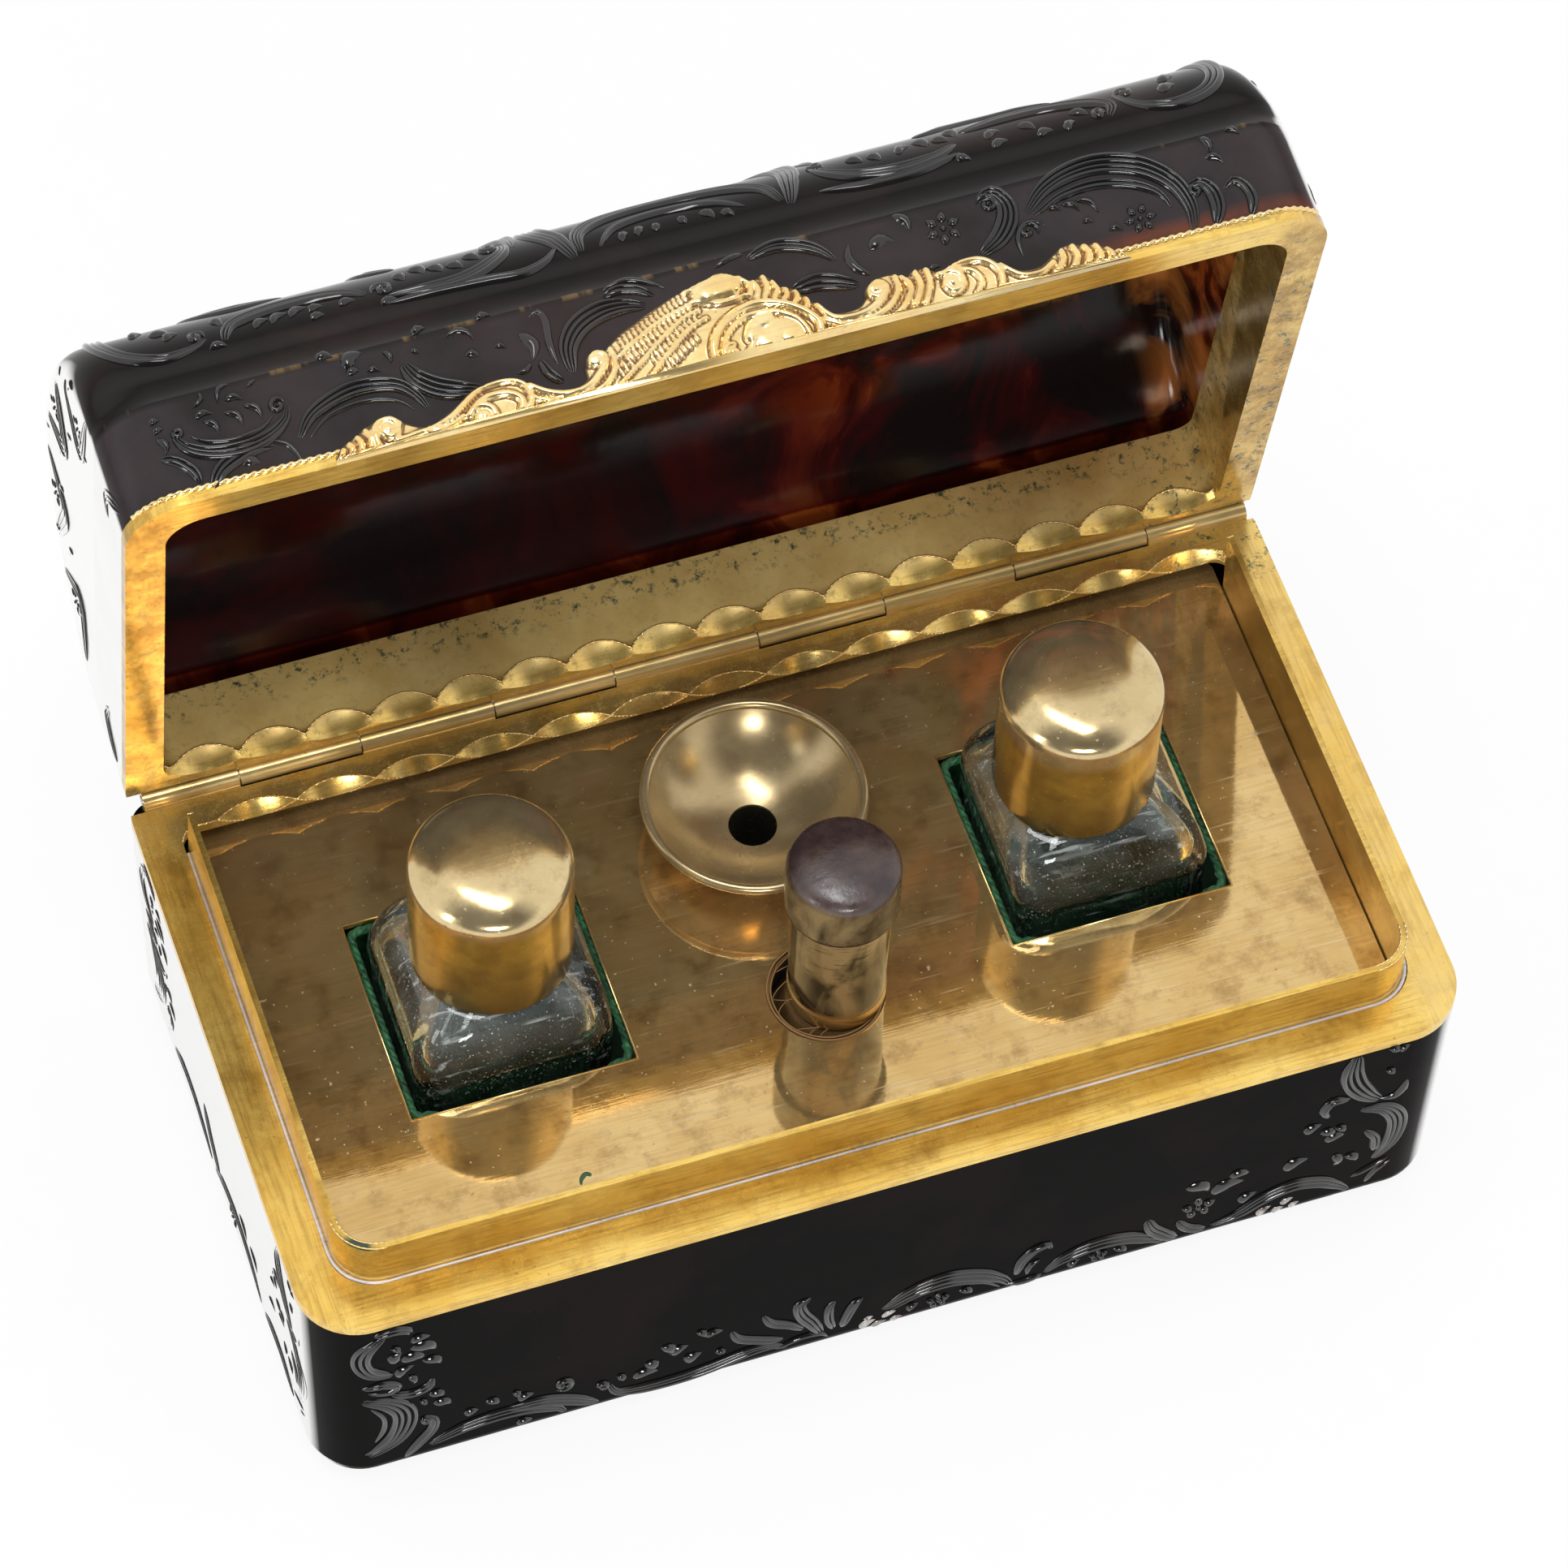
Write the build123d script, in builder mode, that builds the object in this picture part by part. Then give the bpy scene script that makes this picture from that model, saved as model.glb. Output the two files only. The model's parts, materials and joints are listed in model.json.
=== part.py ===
"""Scent caddy: a hinged tortoiseshell casket with gilt mounts, shown with its lid open.

The frame has X along the hinge, Y towards the hinge and Z up. The origin is the centre of the
face that the casket stands on. Sizes are in millimetres and angles in degrees.
"""
import os
from math import asin, cos, degrees, radians, sin, sqrt

from build123d import *

os.makedirs("parts", exist_ok=True)

# Body shell
body_length = 100.0
body_depth = 53.8
shell_height = 25.6
front_corner_radius = 5.25
rear_corner_radius = 2.2
body_taper = 1.1
foot_edge_radius = 2.0
shell_wall = 2.3
shell_floor = 2.0
inner_corner_radius = 1.6

# Gilt bezel and lip of the body
bezel_thickness = 1.1
bezel_width = 3.45
bezel_rear_width = 4.15
lip_thickness = 0.5
lip_rise = 5.0
lip_foot_depth = 6.2
lip_lean = 1.3
lip_corner_radius = 3.9
lip_rear_inset = 5.9
scoop_count = 13
scoop_reach = 1.1
scoop_left_margin = 3.4
scoop_right_margin = 0.2
scoop_height = 4.9
scoop_front = 1.5

# Deck plate
deck_drop = 2.65
deck_thickness = 0.65
deck_rear_inset = 2.9
deck_rear_radius = 1.0
hole_side = 19.5
left_hole_inset = 23.8
left_hole_y = 1.5
right_hole_inset = 23.7
right_hole_y = 2.35
case_hole_radius = 5.0
case_hole_x = 0.4
case_hole_y = -6.7
funnel_hole_radius = 2.9
funnel_x = -0.4
funnel_y = 10.0

# Wells in the wooden block, with their linings, pads and silk edging
block_floor = 1.0
lining_thickness = 0.4
left_pad_thickness = 1.0
right_pad_thickness = 2.1
edging_height = 0.8
edging_width = 0.8
edging_drop = 0.3
edging_round = 0.35
case_well_depth = 8.0
stuffing_drop = 0.8
funnel_well_depth = 16.0

# Bottles
bottle_side = 17.2
bottle_corner = 2.4
bottle_straight = 20.9
shoulder_rise = 6.6
shoulder_top_side = 11.6
shoulder_top_corner = 4.6
shoulder_steps = 3
glass_wall = 1.9
glass_floor = 3.0
neck_radius = 4.8
neck_bore_radius = 3.0
neck_root = 1.5
left_neck_shift = 0.2
right_neck_shift = -1.3
right_bottle_shift = -0.1

# Caps with their cork discs
cap_radius = 6.8
cap_wall = 0.5
cap_side = 11.6
cap_height = 14.1
cap_shoulder_radius = 5.7
cap_shoulder_height = 13.25
cap_inner_height = 12.0
cap_seat_gap = 0.2
cork_thickness = 2.0

# Funnel
funnel_radius = 9.6
bowl_inner_radius = 10.5
bowl_sheet = 0.5
bead_radius = 0.45
throat_radius = 2.05
spout_wall = 0.45
spout_tip_radius = 1.2
spout_tip_bore = 0.8
spout_length = 14.0
funnel_seat_gap = 0.3

# Horn case
case_x = 1.3
case_foot_radius = 3.9
case_waist_radius = 4.05
case_seam_radius = 4.35
case_body_height = 14.7
case_cap_radius = 4.75
case_cap_height = 6.3
case_crown_radius = 3.4
case_crown_rise = 0.45
case_bore_radius = 3.3
case_floor = 1.2
spigot_radius = 3.9
spigot_height = 3.0
ring_height = 1.5
ring_thickness = 0.2
ring_foot = 0.8
balm_height = 11.0

# Hinge
knuckle_radius = 0.95
hinge_end_inset = 1.3
hinge_far_inset = 0.5
knuckle_shares = [8.4, 10.6, 11.7, 10.6, 12.8, 11.3, 11.7, 12.0, 9.1]
knuckle_gap = 0.12
pin_radius = 0.45
hinge_inset = 0.4
rebate_depth = 1.2
tab_thickness = 0.7
tab_set = 0.2

# Lid
open_angle = 81.5
lid_gap = 0.1
lid_wall = 2.7
lid_fold_height = 9.4
lid_panel_lean = 0.2
lid_cove_height = 3.2
lid_cove_sink = 0.35
lid_dome_half = 24.9
lid_dome_rise = 14.9
lid_band_height = 7.3
lid_rear_width = 3.7
lid_corner_radius = 3.2
lobe_count = 16
lobe_margin = 1.0
lobe_radius = 3.6
lobe_drop = 1.7
lobe_depth = 1.45

# Thumbpiece on the front of the lid
thumb_thickness = 1.0
thumb_half_length = 33.0
thumb_outline = [
    (-29.5, 2.8), (-27.5, 2.9), (-25.6, 1.4), (-22.3, 2.9), (-18.8, 3.9), (-15.8, 2.5),
    (-13.5, 1.6), (-11.2, 3.7), (-8.7, 4.7), (-4.1, 6.6), (0.0, 7.9), (4.4, 6.5), (6.9, 3.0),
    (9.9, 1.9), (12.6, 4.2), (17.0, 3.6), (20.3, 4.0), (24.3, 1.5), (27.7, 2.8), (30.9, 2.0),
]

# Clearances
fit_gap = 0.05
end_gap = 0.3
lip_gap = 0.2
lid_over_lip = 0.2
soft_gap = 0.1
pin_clearance = 0.05

# Levels and places that follow from the sizes above
neck_height = cap_seat_gap + cap_inner_height - cork_thickness - fit_gap
half_length = body_length / 2
half_depth = body_depth / 2
rim_z = shell_height + bezel_thickness
deck_top = rim_z - deck_drop
deck_under = deck_top - deck_thickness
deck_rear = half_depth - deck_rear_inset
step_z = rim_z - lip_foot_depth
well_floor = shell_floor + block_floor
hinge_y = half_depth - hinge_inset
bezel_rear = hinge_y - rebate_depth
opening_half = half_length - bezel_width
opening_front = half_depth - bezel_width
opening_rear = half_depth - bezel_rear_width
lip_rear_end = half_depth - lip_rear_inset
left_hole_x = left_hole_inset - half_length
right_hole_x = half_length - right_hole_inset
lip_half = opening_half - lip_gap
lip_front = opening_front - lip_gap
lip_inner_half = lip_half - lip_thickness
lip_inner_front = lip_front - lip_thickness
lip_inner_radius = lip_corner_radius - lip_thickness
cavity_half = half_length - shell_wall
cavity_depth_half = half_depth - shell_wall
block_half = lip_inner_half - lip_gap
block_front = lip_inner_front - lip_gap
lid_z = rim_z + lid_gap
lid_shell_z = lid_z + bezel_thickness
fold_z = rim_z + lid_fold_height
lid_opening_half = opening_half + lid_over_lip
lid_opening_front = opening_front + lid_over_lip
lid_opening_rear = half_depth - lid_rear_width
lid_cavity_half = half_length - lid_wall
lid_cavity_depth_half = half_depth - lid_wall
hinge_axis = Axis((0, hinge_y, rim_z), (1, 0, 0))


def plan(half, front, rear, front_radius, rear_radius, mode=Mode.ADD):
    """Trace in the open sketch a rectangle with one radius in front and another at the rear."""
    with BuildLine() as outline:
        FilletPolyline(
            (-half, -front), (half, -front), (half, rear), (-half, rear),
            radius=[front_radius, front_radius, rear_radius, rear_radius],
            close=True,
        )
    make_face(outline.edges(), mode=mode)


def rear_strip(start, mode=Mode.SUBTRACT):
    """Trace in the open sketch everything that lies behind the line at start."""
    with Locations((0, start + half_depth)):
        Rectangle(2 * body_length, body_depth, mode=mode)


def upright(x, y, z):
    """The plane across which a round piece's profile is drawn, with its axis through x and y."""
    return Plane(origin=(x, y, z), x_dir=(1, 0, 0), z_dir=(0, -1, 0))


def axis_at(x, y):
    """The upright axis through x and y."""
    return Axis((x, y, 0), (0, 0, 1))


def save(piece, name):
    """Label a finished piece and write its file."""
    piece.label = name
    export_step(piece, f"parts/{name}.step")


def swing_open(piece):
    """Turn a piece of the closed lid about the hinge to where it stands open."""
    return piece.rotate(hinge_axis, -open_angle)


# Body shell: a tapered box with a rounded foot
with BuildPart() as body_shell:
    with BuildSketch(Plane.XY.offset(shell_height)):
        plan(half_length, half_depth, half_depth, front_corner_radius, rear_corner_radius)
    extrude(amount=-shell_height, taper=body_taper)
    fillet(body_shell.faces().sort_by(Axis.Z)[0].edges(), foot_edge_radius)
    with BuildSketch(Plane.XY.offset(shell_floor)):
        plan(
            cavity_half, cavity_depth_half, cavity_depth_half,
            front_corner_radius - shell_wall, inner_corner_radius,
        )
    extrude(amount=shell_height, mode=Mode.SUBTRACT)
save(body_shell.part, "body_shell")

# Scoops along the inner rear edge of the body bezel, kept clear of its two ends
scoop_pitch = (2 * opening_half - scoop_left_margin - scoop_right_margin) / scoop_count
scoop_middle = (scoop_left_margin - scoop_right_margin) / 2
scoop_flat = scoop_pitch**2 / 8 / scoop_reach + scoop_reach / 2
with BuildPart() as scoops:
    with Locations((scoop_middle, opening_rear + scoop_reach - scoop_flat, rim_z + scoop_height)):
        with GridLocations(scoop_pitch, 0, scoop_count, 1):
            Sphere(sqrt(scoop_flat**2 + scoop_height**2))
    with BuildSketch(Plane.XY.offset(step_z)):
        with Locations((0, opening_rear - scoop_front + half_depth)):
            Rectangle(2 * (opening_half - end_gap), body_depth)
    extrude(amount=2 * shell_height, mode=Mode.INTERSECT)

# Body bezel: a flange with a skirt on three sides, and scoops along its inner rear edge
with BuildPart() as body_bezel:
    with BuildSketch(Plane.XY.offset(shell_height)):
        plan(half_length, half_depth, half_depth, front_corner_radius, rear_corner_radius)
        plan(
            opening_half, opening_front, opening_rear, lip_corner_radius, inner_corner_radius,
            mode=Mode.SUBTRACT,
        )
        rear_strip(bezel_rear)
    extrude(amount=bezel_thickness)
    with BuildSketch(Plane.XY.offset(step_z + fit_gap)):
        plan(
            cavity_half - fit_gap, cavity_depth_half - fit_gap, cavity_depth_half - fit_gap,
            front_corner_radius - shell_wall, inner_corner_radius,
        )
        plan(
            opening_half, opening_front, opening_rear, lip_corner_radius, inner_corner_radius,
            mode=Mode.SUBTRACT,
        )
        rear_strip(lip_rear_end)
    extrude(amount=shell_height - step_z)
    add(scoops.part, mode=Mode.SUBTRACT)
save(body_bezel.part, "body_bezel")

# Body lip: a thin upstand on the front and both ends, leaning inwards as it rises
with BuildPart() as body_lip:
    with BuildSketch(Plane.XY.offset(step_z + fit_gap)):
        plan(lip_half, lip_front, half_depth, lip_corner_radius, lip_corner_radius)
    extrude(amount=lip_foot_depth + lip_rise - fit_gap, taper=lip_lean)
    with BuildSketch(Plane.XY.offset(step_z + fit_gap)):
        plan(lip_inner_half, lip_inner_front, half_depth, lip_inner_radius, lip_inner_radius)
    extrude(amount=lip_foot_depth + lip_rise - fit_gap, taper=lip_lean, mode=Mode.SUBTRACT)
    with BuildSketch(Plane.XY.offset(step_z)):
        rear_strip(lip_rear_end, mode=Mode.ADD)
    extrude(amount=2 * shell_height, mode=Mode.SUBTRACT)
save(body_lip.part, "body_lip")

# Square wells: where each bottle stands, how thick its pad is and how far its neck is off centre
wells = {
    "left": (left_hole_x, left_hole_y, left_pad_thickness, 0.0, left_neck_shift),
    "right": (
        right_hole_x, right_hole_y, right_pad_thickness, right_bottle_shift, right_neck_shift,
    ),
}
well_side = hole_side + 2 * (lining_thickness + soft_gap)
case_well_radius = case_hole_radius + lining_thickness + soft_gap
funnel_well_radius = funnel_hole_radius + lining_thickness + soft_gap

# Well block: fills the shell, steps in for the lip, and is bored for the wells
with BuildPart() as well_block:
    with BuildSketch(Plane.XY.offset(shell_floor)):
        plan(
            cavity_half - soft_gap, cavity_depth_half - soft_gap, cavity_depth_half - soft_gap,
            front_corner_radius - shell_wall, inner_corner_radius,
        )
    extrude(amount=step_z - shell_floor)
    with BuildSketch(Plane.XY.offset(step_z)):
        plan(
            block_half, block_front, cavity_depth_half - soft_gap,
            lip_inner_radius, inner_corner_radius,
        )
    extrude(amount=deck_under - step_z)
    for hole_x, hole_y, pad_thickness, bottle_shift, neck_shift in wells.values():
        with BuildSketch(Plane((hole_x, hole_y, well_floor))):
            Rectangle(well_side, well_side)
        extrude(amount=deck_under, mode=Mode.SUBTRACT)
    with BuildSketch(Plane((case_hole_x, case_hole_y, deck_under - case_well_depth))):
        Circle(case_well_radius)
    extrude(amount=case_well_depth, mode=Mode.SUBTRACT)
    with BuildSketch(Plane((funnel_x, funnel_y, deck_under - funnel_well_depth))):
        Circle(funnel_well_radius)
    extrude(amount=funnel_well_depth, mode=Mode.SUBTRACT)
save(well_block.part, "well_block")

# Deck plate with its two square holes and two round ones
with BuildPart() as deck_plate:
    with BuildSketch(Plane.XY.offset(deck_under)):
        plan(block_half, block_front, deck_rear, lip_inner_radius, deck_rear_radius)
        for hole_x, hole_y, pad_thickness, bottle_shift, neck_shift in wells.values():
            with Locations((hole_x, hole_y)):
                Rectangle(hole_side, hole_side, mode=Mode.SUBTRACT)
        with Locations((case_hole_x, case_hole_y)):
            Circle(case_hole_radius, mode=Mode.SUBTRACT)
        with Locations((funnel_x, funnel_y)):
            Circle(funnel_hole_radius, mode=Mode.SUBTRACT)
    extrude(amount=deck_thickness)
save(deck_plate.part, "deck_plate")

# Linings, pads and silk edging of the square wells
for side, (hole_x, hole_y, pad_thickness, bottle_shift, neck_shift) in wells.items():
    with BuildPart() as well_lining:
        with BuildSketch(Plane((hole_x, hole_y, well_floor))):
            Rectangle(well_side - 2 * soft_gap, well_side - 2 * soft_gap)
            Rectangle(hole_side, hole_side, mode=Mode.SUBTRACT)
        extrude(amount=deck_under - well_floor)
    save(well_lining.part, f"{side}_well_lining")

    with BuildPart() as well_pad:
        with BuildSketch(Plane((hole_x, hole_y, well_floor))):
            Rectangle(hole_side - 2 * soft_gap, hole_side - 2 * soft_gap)
        extrude(amount=pad_thickness)
    save(well_pad.part, f"{side}_well_pad")

    with BuildPart() as silk_edging:
        with BuildSketch(Plane((hole_x, hole_y, deck_top - edging_drop - edging_height))):
            Rectangle(hole_side - fit_gap, hole_side - fit_gap)
            Rectangle(
                hole_side - fit_gap - 2 * edging_width,
                hole_side - fit_gap - 2 * edging_width,
                mode=Mode.SUBTRACT,
            )
        extrude(amount=edging_height)
        fillet(silk_edging.faces().sort_by(Axis.Z)[-1].edges(), edging_round)
    save(silk_edging.part, f"{side}_silk_edging")

# Lining and stuffing of the case's well, and lining of the funnel's well
with BuildPart() as case_well_lining:
    with BuildSketch(Plane((case_hole_x, case_hole_y, deck_under - case_well_depth))):
        Circle(case_well_radius - soft_gap)
        Circle(case_hole_radius, mode=Mode.SUBTRACT)
    extrude(amount=case_well_depth)
save(case_well_lining.part, "case_well_lining")

stuffing_top = deck_top - stuffing_drop
with BuildPart() as case_well_stuffing:
    with BuildSketch(Plane((case_hole_x, case_hole_y, deck_under - case_well_depth))):
        Circle(case_hole_radius - soft_gap)
    extrude(amount=stuffing_top - deck_under + case_well_depth)
save(case_well_stuffing.part, "case_well_stuffing")

with BuildPart() as funnel_well_lining:
    with BuildSketch(Plane((funnel_x, funnel_y, deck_under - funnel_well_depth))):
        Circle(funnel_well_radius - soft_gap)
        Circle(funnel_hole_radius, mode=Mode.SUBTRACT)
    extrude(amount=funnel_well_depth)
save(funnel_well_lining.part, "funnel_well_lining")


def bottle_form(centre, foot, sides, straight, rise, corners, shift):
    """A square bottle's form: upright walls, then a shoulder that closes in along an ellipse."""
    foot_side, top_side = sides
    foot_corner, top_corner = corners
    with BuildPart() as form:
        with BuildSketch(Plane((*centre, foot))):
            RectangleRounded(foot_side, foot_side, foot_corner)
        extrude(amount=straight)
        for step in range(shoulder_steps + 1):
            turn = radians(90 * step / shoulder_steps)
            ring_side = top_side + (foot_side - top_side) * cos(turn)
            ring_corner = foot_corner + (top_corner - foot_corner) * step / shoulder_steps
            ring_x = centre[0] + shift * sin(turn)
            with BuildSketch(Plane((ring_x, centre[1], foot + straight + rise * sin(turn)))):
                RectangleRounded(ring_side, ring_side, ring_corner)
        loft()
    return form.part


# Bottles, each with the cap and the cork disc that close its neck
for side, (hole_x, hole_y, pad_thickness, bottle_shift, neck_shift) in wells.items():
    bottle_x = hole_x + bottle_shift
    neck_x = bottle_x + neck_shift
    bottle_foot = well_floor + pad_thickness + fit_gap
    shoulder_z = bottle_foot + bottle_straight + shoulder_rise
    neck_top = shoulder_z + neck_height
    outside = bottle_form(
        (bottle_x, hole_y), bottle_foot, (bottle_side, shoulder_top_side),
        bottle_straight, shoulder_rise, (bottle_corner, shoulder_top_corner), neck_shift,
    )
    inside = bottle_form(
        (bottle_x, hole_y), bottle_foot + glass_floor,
        (bottle_side - 2 * glass_wall, 2 * neck_bore_radius),
        bottle_straight - glass_floor, shoulder_rise - glass_wall / 2,
        (bottle_corner - glass_wall / 2, neck_bore_radius * 0.9), neck_shift,
    )
    with BuildPart() as bottle:
        add(outside)
        with BuildSketch(Plane((neck_x, hole_y, shoulder_z - neck_root))):
            Circle(neck_radius)
        extrude(amount=neck_root + neck_height)
        add(inside, mode=Mode.SUBTRACT)
        with BuildSketch(Plane((neck_x, hole_y, neck_top))):
            Circle(neck_bore_radius)
        extrude(amount=-neck_height - glass_wall, mode=Mode.SUBTRACT)
    save(bottle.part, f"{side}_bottle")

    cap_foot = shoulder_z + cap_seat_gap
    with BuildPart() as cap:
        with BuildSketch(upright(neck_x, hole_y, cap_foot)):
            with BuildLine():
                Polyline((0, cap_height), (0, 0), (cap_radius, 0), (cap_radius, cap_side))
                Spline(
                    (cap_radius, cap_side), (cap_shoulder_radius, cap_shoulder_height),
                    (0, cap_height), tangents=[(0, 1), (-1, 0)],
                )
            make_face()
        revolve(axis=axis_at(neck_x, hole_y))
        with BuildSketch(Plane((neck_x, hole_y, cap_foot))):
            Circle(cap_radius - cap_wall)
        extrude(amount=cap_inner_height, mode=Mode.SUBTRACT)
    save(cap.part, f"{side}_cap")

    cork_foot = cap_foot + cap_inner_height - cork_thickness
    with BuildPart() as cork:
        with BuildSketch(Plane((neck_x, hole_y, cork_foot))):
            Circle(cap_radius - cap_wall - fit_gap)
        extrude(amount=cork_thickness)
    save(cork.part, f"{side}_cork")

# Funnel bowl: part of a sphere with a beaded rim, seated above the edge of its hole
bowl_outer_radius = bowl_inner_radius + bowl_sheet
bowl_centre_z = deck_top + funnel_seat_gap + sqrt(bowl_outer_radius**2 - funnel_hole_radius**2)
bead_centre_radius = funnel_radius - bead_radius
rim_turn = asin((bead_centre_radius + bowl_sheet / 2) / bowl_outer_radius)
funnel_rim_z = bowl_centre_z - bowl_outer_radius * cos(rim_turn)
throat_outer_radius = throat_radius + spout_wall
throat_z = bowl_centre_z - sqrt(bowl_outer_radius**2 - throat_outer_radius**2)
with BuildPart() as funnel_bowl:
    with BuildSketch(upright(funnel_x, funnel_y, 0)):
        with Locations((0, bowl_centre_z)):
            Circle(bowl_outer_radius)
            Circle(bowl_inner_radius, mode=Mode.SUBTRACT)
        with Locations((0, funnel_rim_z)):
            Rectangle(
                4 * bowl_outer_radius, 4 * bowl_outer_radius,
                align=(Align.CENTER, Align.MIN), mode=Mode.SUBTRACT,
            )
        with Locations((bead_centre_radius, funnel_rim_z)):
            Circle(bead_radius)
        with Locations((throat_radius, 0)):
            Rectangle(
                4 * bowl_outer_radius, 4 * bowl_outer_radius + throat_z,
                align=(Align.MAX, Align.CENTER), mode=Mode.SUBTRACT,
            )
        with Locations((0, throat_z)):
            Rectangle(
                4 * throat_outer_radius, bowl_outer_radius,
                align=(Align.CENTER, Align.MAX), mode=Mode.SUBTRACT,
            )
    revolve(axis=axis_at(funnel_x, funnel_y))
save(funnel_bowl.part, "funnel_bowl")

# Funnel spout: a tapered tube below the throat
with BuildPart() as funnel_spout:
    with BuildSketch(upright(funnel_x, funnel_y, throat_z)):
        with BuildLine():
            Polyline(
                (throat_radius, 0), (throat_outer_radius, 0),
                (spout_tip_radius, -spout_length), (spout_tip_bore, -spout_length),
                close=True,
            )
        make_face()
    revolve(axis=axis_at(funnel_x, funnel_y))
save(funnel_spout.part, "funnel_spout")

# Horn case: a slightly flared tube on the stuffing, with a spigot for its cap
case_foot_z = stuffing_top + fit_gap
case_seam_z = case_foot_z + case_body_height
waist_height = ring_foot + ring_height
with BuildPart() as case_body:
    with BuildSketch(upright(case_x, case_hole_y, case_foot_z)):
        with BuildLine():
            Polyline(
                (0, 0), (case_foot_radius, 0), (case_foot_radius, waist_height),
                (case_waist_radius, waist_height), (case_seam_radius, case_body_height),
                (spigot_radius, case_body_height),
                (spigot_radius, case_body_height + spigot_height),
                (case_bore_radius, case_body_height + spigot_height),
                (case_bore_radius, case_floor), (0, case_floor),
                close=True,
            )
        make_face()
    revolve(axis=axis_at(case_x, case_hole_y))
save(case_body.part, "case_body")

with BuildPart() as case_base_ring:
    with BuildSketch(Plane((case_x, case_hole_y, case_foot_z + ring_foot))):
        Circle(case_foot_radius + fit_gap + ring_thickness)
        Circle(case_foot_radius + fit_gap, mode=Mode.SUBTRACT)
    extrude(amount=ring_height - fit_gap)
save(case_base_ring.part, "case_base_ring")

with BuildPart() as balm_stick:
    with BuildSketch(Plane((case_x, case_hole_y, case_foot_z + case_floor))):
        Circle(case_bore_radius - soft_gap)
    extrude(amount=balm_height)
save(balm_stick.part, "balm_stick")

# Cap of the case: rounds over to a nearly flat crown
with BuildPart() as case_cap:
    with BuildSketch(upright(case_x, case_hole_y, case_seam_z + fit_gap)):
        case_edge = case_cap_radius - case_crown_radius
        with BuildLine():
            Polyline(
                (0, case_cap_height), (0, 0), (case_cap_radius, 0),
                (case_cap_radius, case_cap_height - case_crown_rise - case_edge),
            )
            Spline(
                (case_cap_radius, case_cap_height - case_crown_rise - case_edge),
                (case_crown_radius, case_cap_height - case_crown_rise),
                (0, case_cap_height), tangents=[(0, 1), (-1, 0)],
            )
        make_face()
    revolve(axis=axis_at(case_x, case_hole_y))
    with BuildSketch(Plane((case_x, case_hole_y, case_seam_z + fit_gap))):
        Circle(spigot_radius + fit_gap)
    extrude(amount=spigot_height + fit_gap, mode=Mode.SUBTRACT)
save(case_cap.part, "case_cap")

# Hinge: the body and the lid take turns along the barrel, and each knuckle has a tab to its bezel
knuckle_ends = [hinge_end_inset - half_length]
for share in knuckle_shares:
    length = share / sum(knuckle_shares) * (body_length - hinge_end_inset - hinge_far_inset)
    knuckle_ends.append(knuckle_ends[-1] + length)
spans = list(zip(knuckle_ends[:-1], knuckle_ends[1:]))


def hinge_row(own_spans, tab_z):
    """Knuckles over the given spans of X, with their tabs centred at the height tab_z."""
    with BuildPart() as row:
        for start, end in own_spans:
            length = end - start - knuckle_gap
            with BuildSketch(Plane.YZ.offset(start + knuckle_gap / 2)):
                with Locations((hinge_y, rim_z)):
                    Circle(knuckle_radius)
                with Locations((bezel_rear, tab_z)):
                    Rectangle(rebate_depth, tab_thickness, align=(Align.MIN, Align.CENTER))
                with Locations((hinge_y, rim_z)):
                    Circle(pin_radius + pin_clearance, mode=Mode.SUBTRACT)
            extrude(amount=length)
    return row.part


save(hinge_row(spans[0::2], rim_z - tab_set - tab_thickness / 2), "body_knuckles")
lid_knuckles = hinge_row(spans[1::2], lid_z + tab_set + tab_thickness / 2)
save(swing_open(lid_knuckles), "lid_knuckles")

with BuildPart() as hinge_pin:
    with BuildSketch(Plane.YZ.offset(knuckle_ends[0])):
        with Locations((hinge_y, rim_z)):
            Circle(pin_radius)
    extrude(amount=knuckle_ends[-1] - knuckle_ends[0])
save(hinge_pin.part, "hinge_pin")


def vault(shrink, lean, foot_z):
    """Trace in the open sketch the lid's cross-section, with its walls moved in by shrink."""
    half_foot = half_depth - shrink
    half_fold = half_foot - lean
    dome_half = lid_dome_half - shrink
    dome_rise = lid_dome_rise - shrink
    meet = asin(lid_cove_height / dome_rise)
    half_meet = dome_half * cos(meet)
    cove_middle = (
        (half_fold + half_meet) / 2 - lid_cove_sink,
        fold_z + lid_cove_height / 2 - lid_cove_sink,
    )
    with BuildLine() as outline:
        Polyline((0, foot_z), (half_foot, foot_z), (half_fold, fold_z))
        ThreePointArc(
            (half_fold, fold_z), cove_middle, (half_meet, fold_z + lid_cove_height),
        )
        EllipticalCenterArc(
            (0, fold_z), dome_half, dome_rise,
            start_angle=degrees(meet), arc_size=90 - degrees(meet),
        )
        mirror(about=Plane.YZ)
    make_face(outline.edges())


# Lid shell: a vault with upright gables, its corners rounded like the body's
with BuildPart() as lid_hollow:
    with BuildSketch(Plane.YZ.offset(-lid_cavity_half)):
        vault(lid_wall - fit_gap, 0, lid_shell_z)
    extrude(amount=2 * lid_cavity_half)
    with BuildSketch(Plane.XY.offset(lid_shell_z)):
        plan(
            lid_cavity_half, lid_cavity_depth_half, lid_cavity_depth_half,
            front_corner_radius - lid_wall, inner_corner_radius,
        )
    extrude(amount=body_depth, mode=Mode.INTERSECT)

with BuildPart() as lid_shell:
    with BuildSketch(Plane.YZ.offset(-half_length)):
        vault(0, lid_panel_lean, lid_shell_z)
    extrude(amount=body_length)
    with BuildSketch(Plane.XY.offset(lid_shell_z)):
        plan(half_length, half_depth, half_depth, front_corner_radius, rear_corner_radius)
    extrude(amount=body_depth, mode=Mode.INTERSECT)
    add(lid_hollow.part, mode=Mode.SUBTRACT)
save(swing_open(lid_shell.part), "lid_shell")

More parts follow.
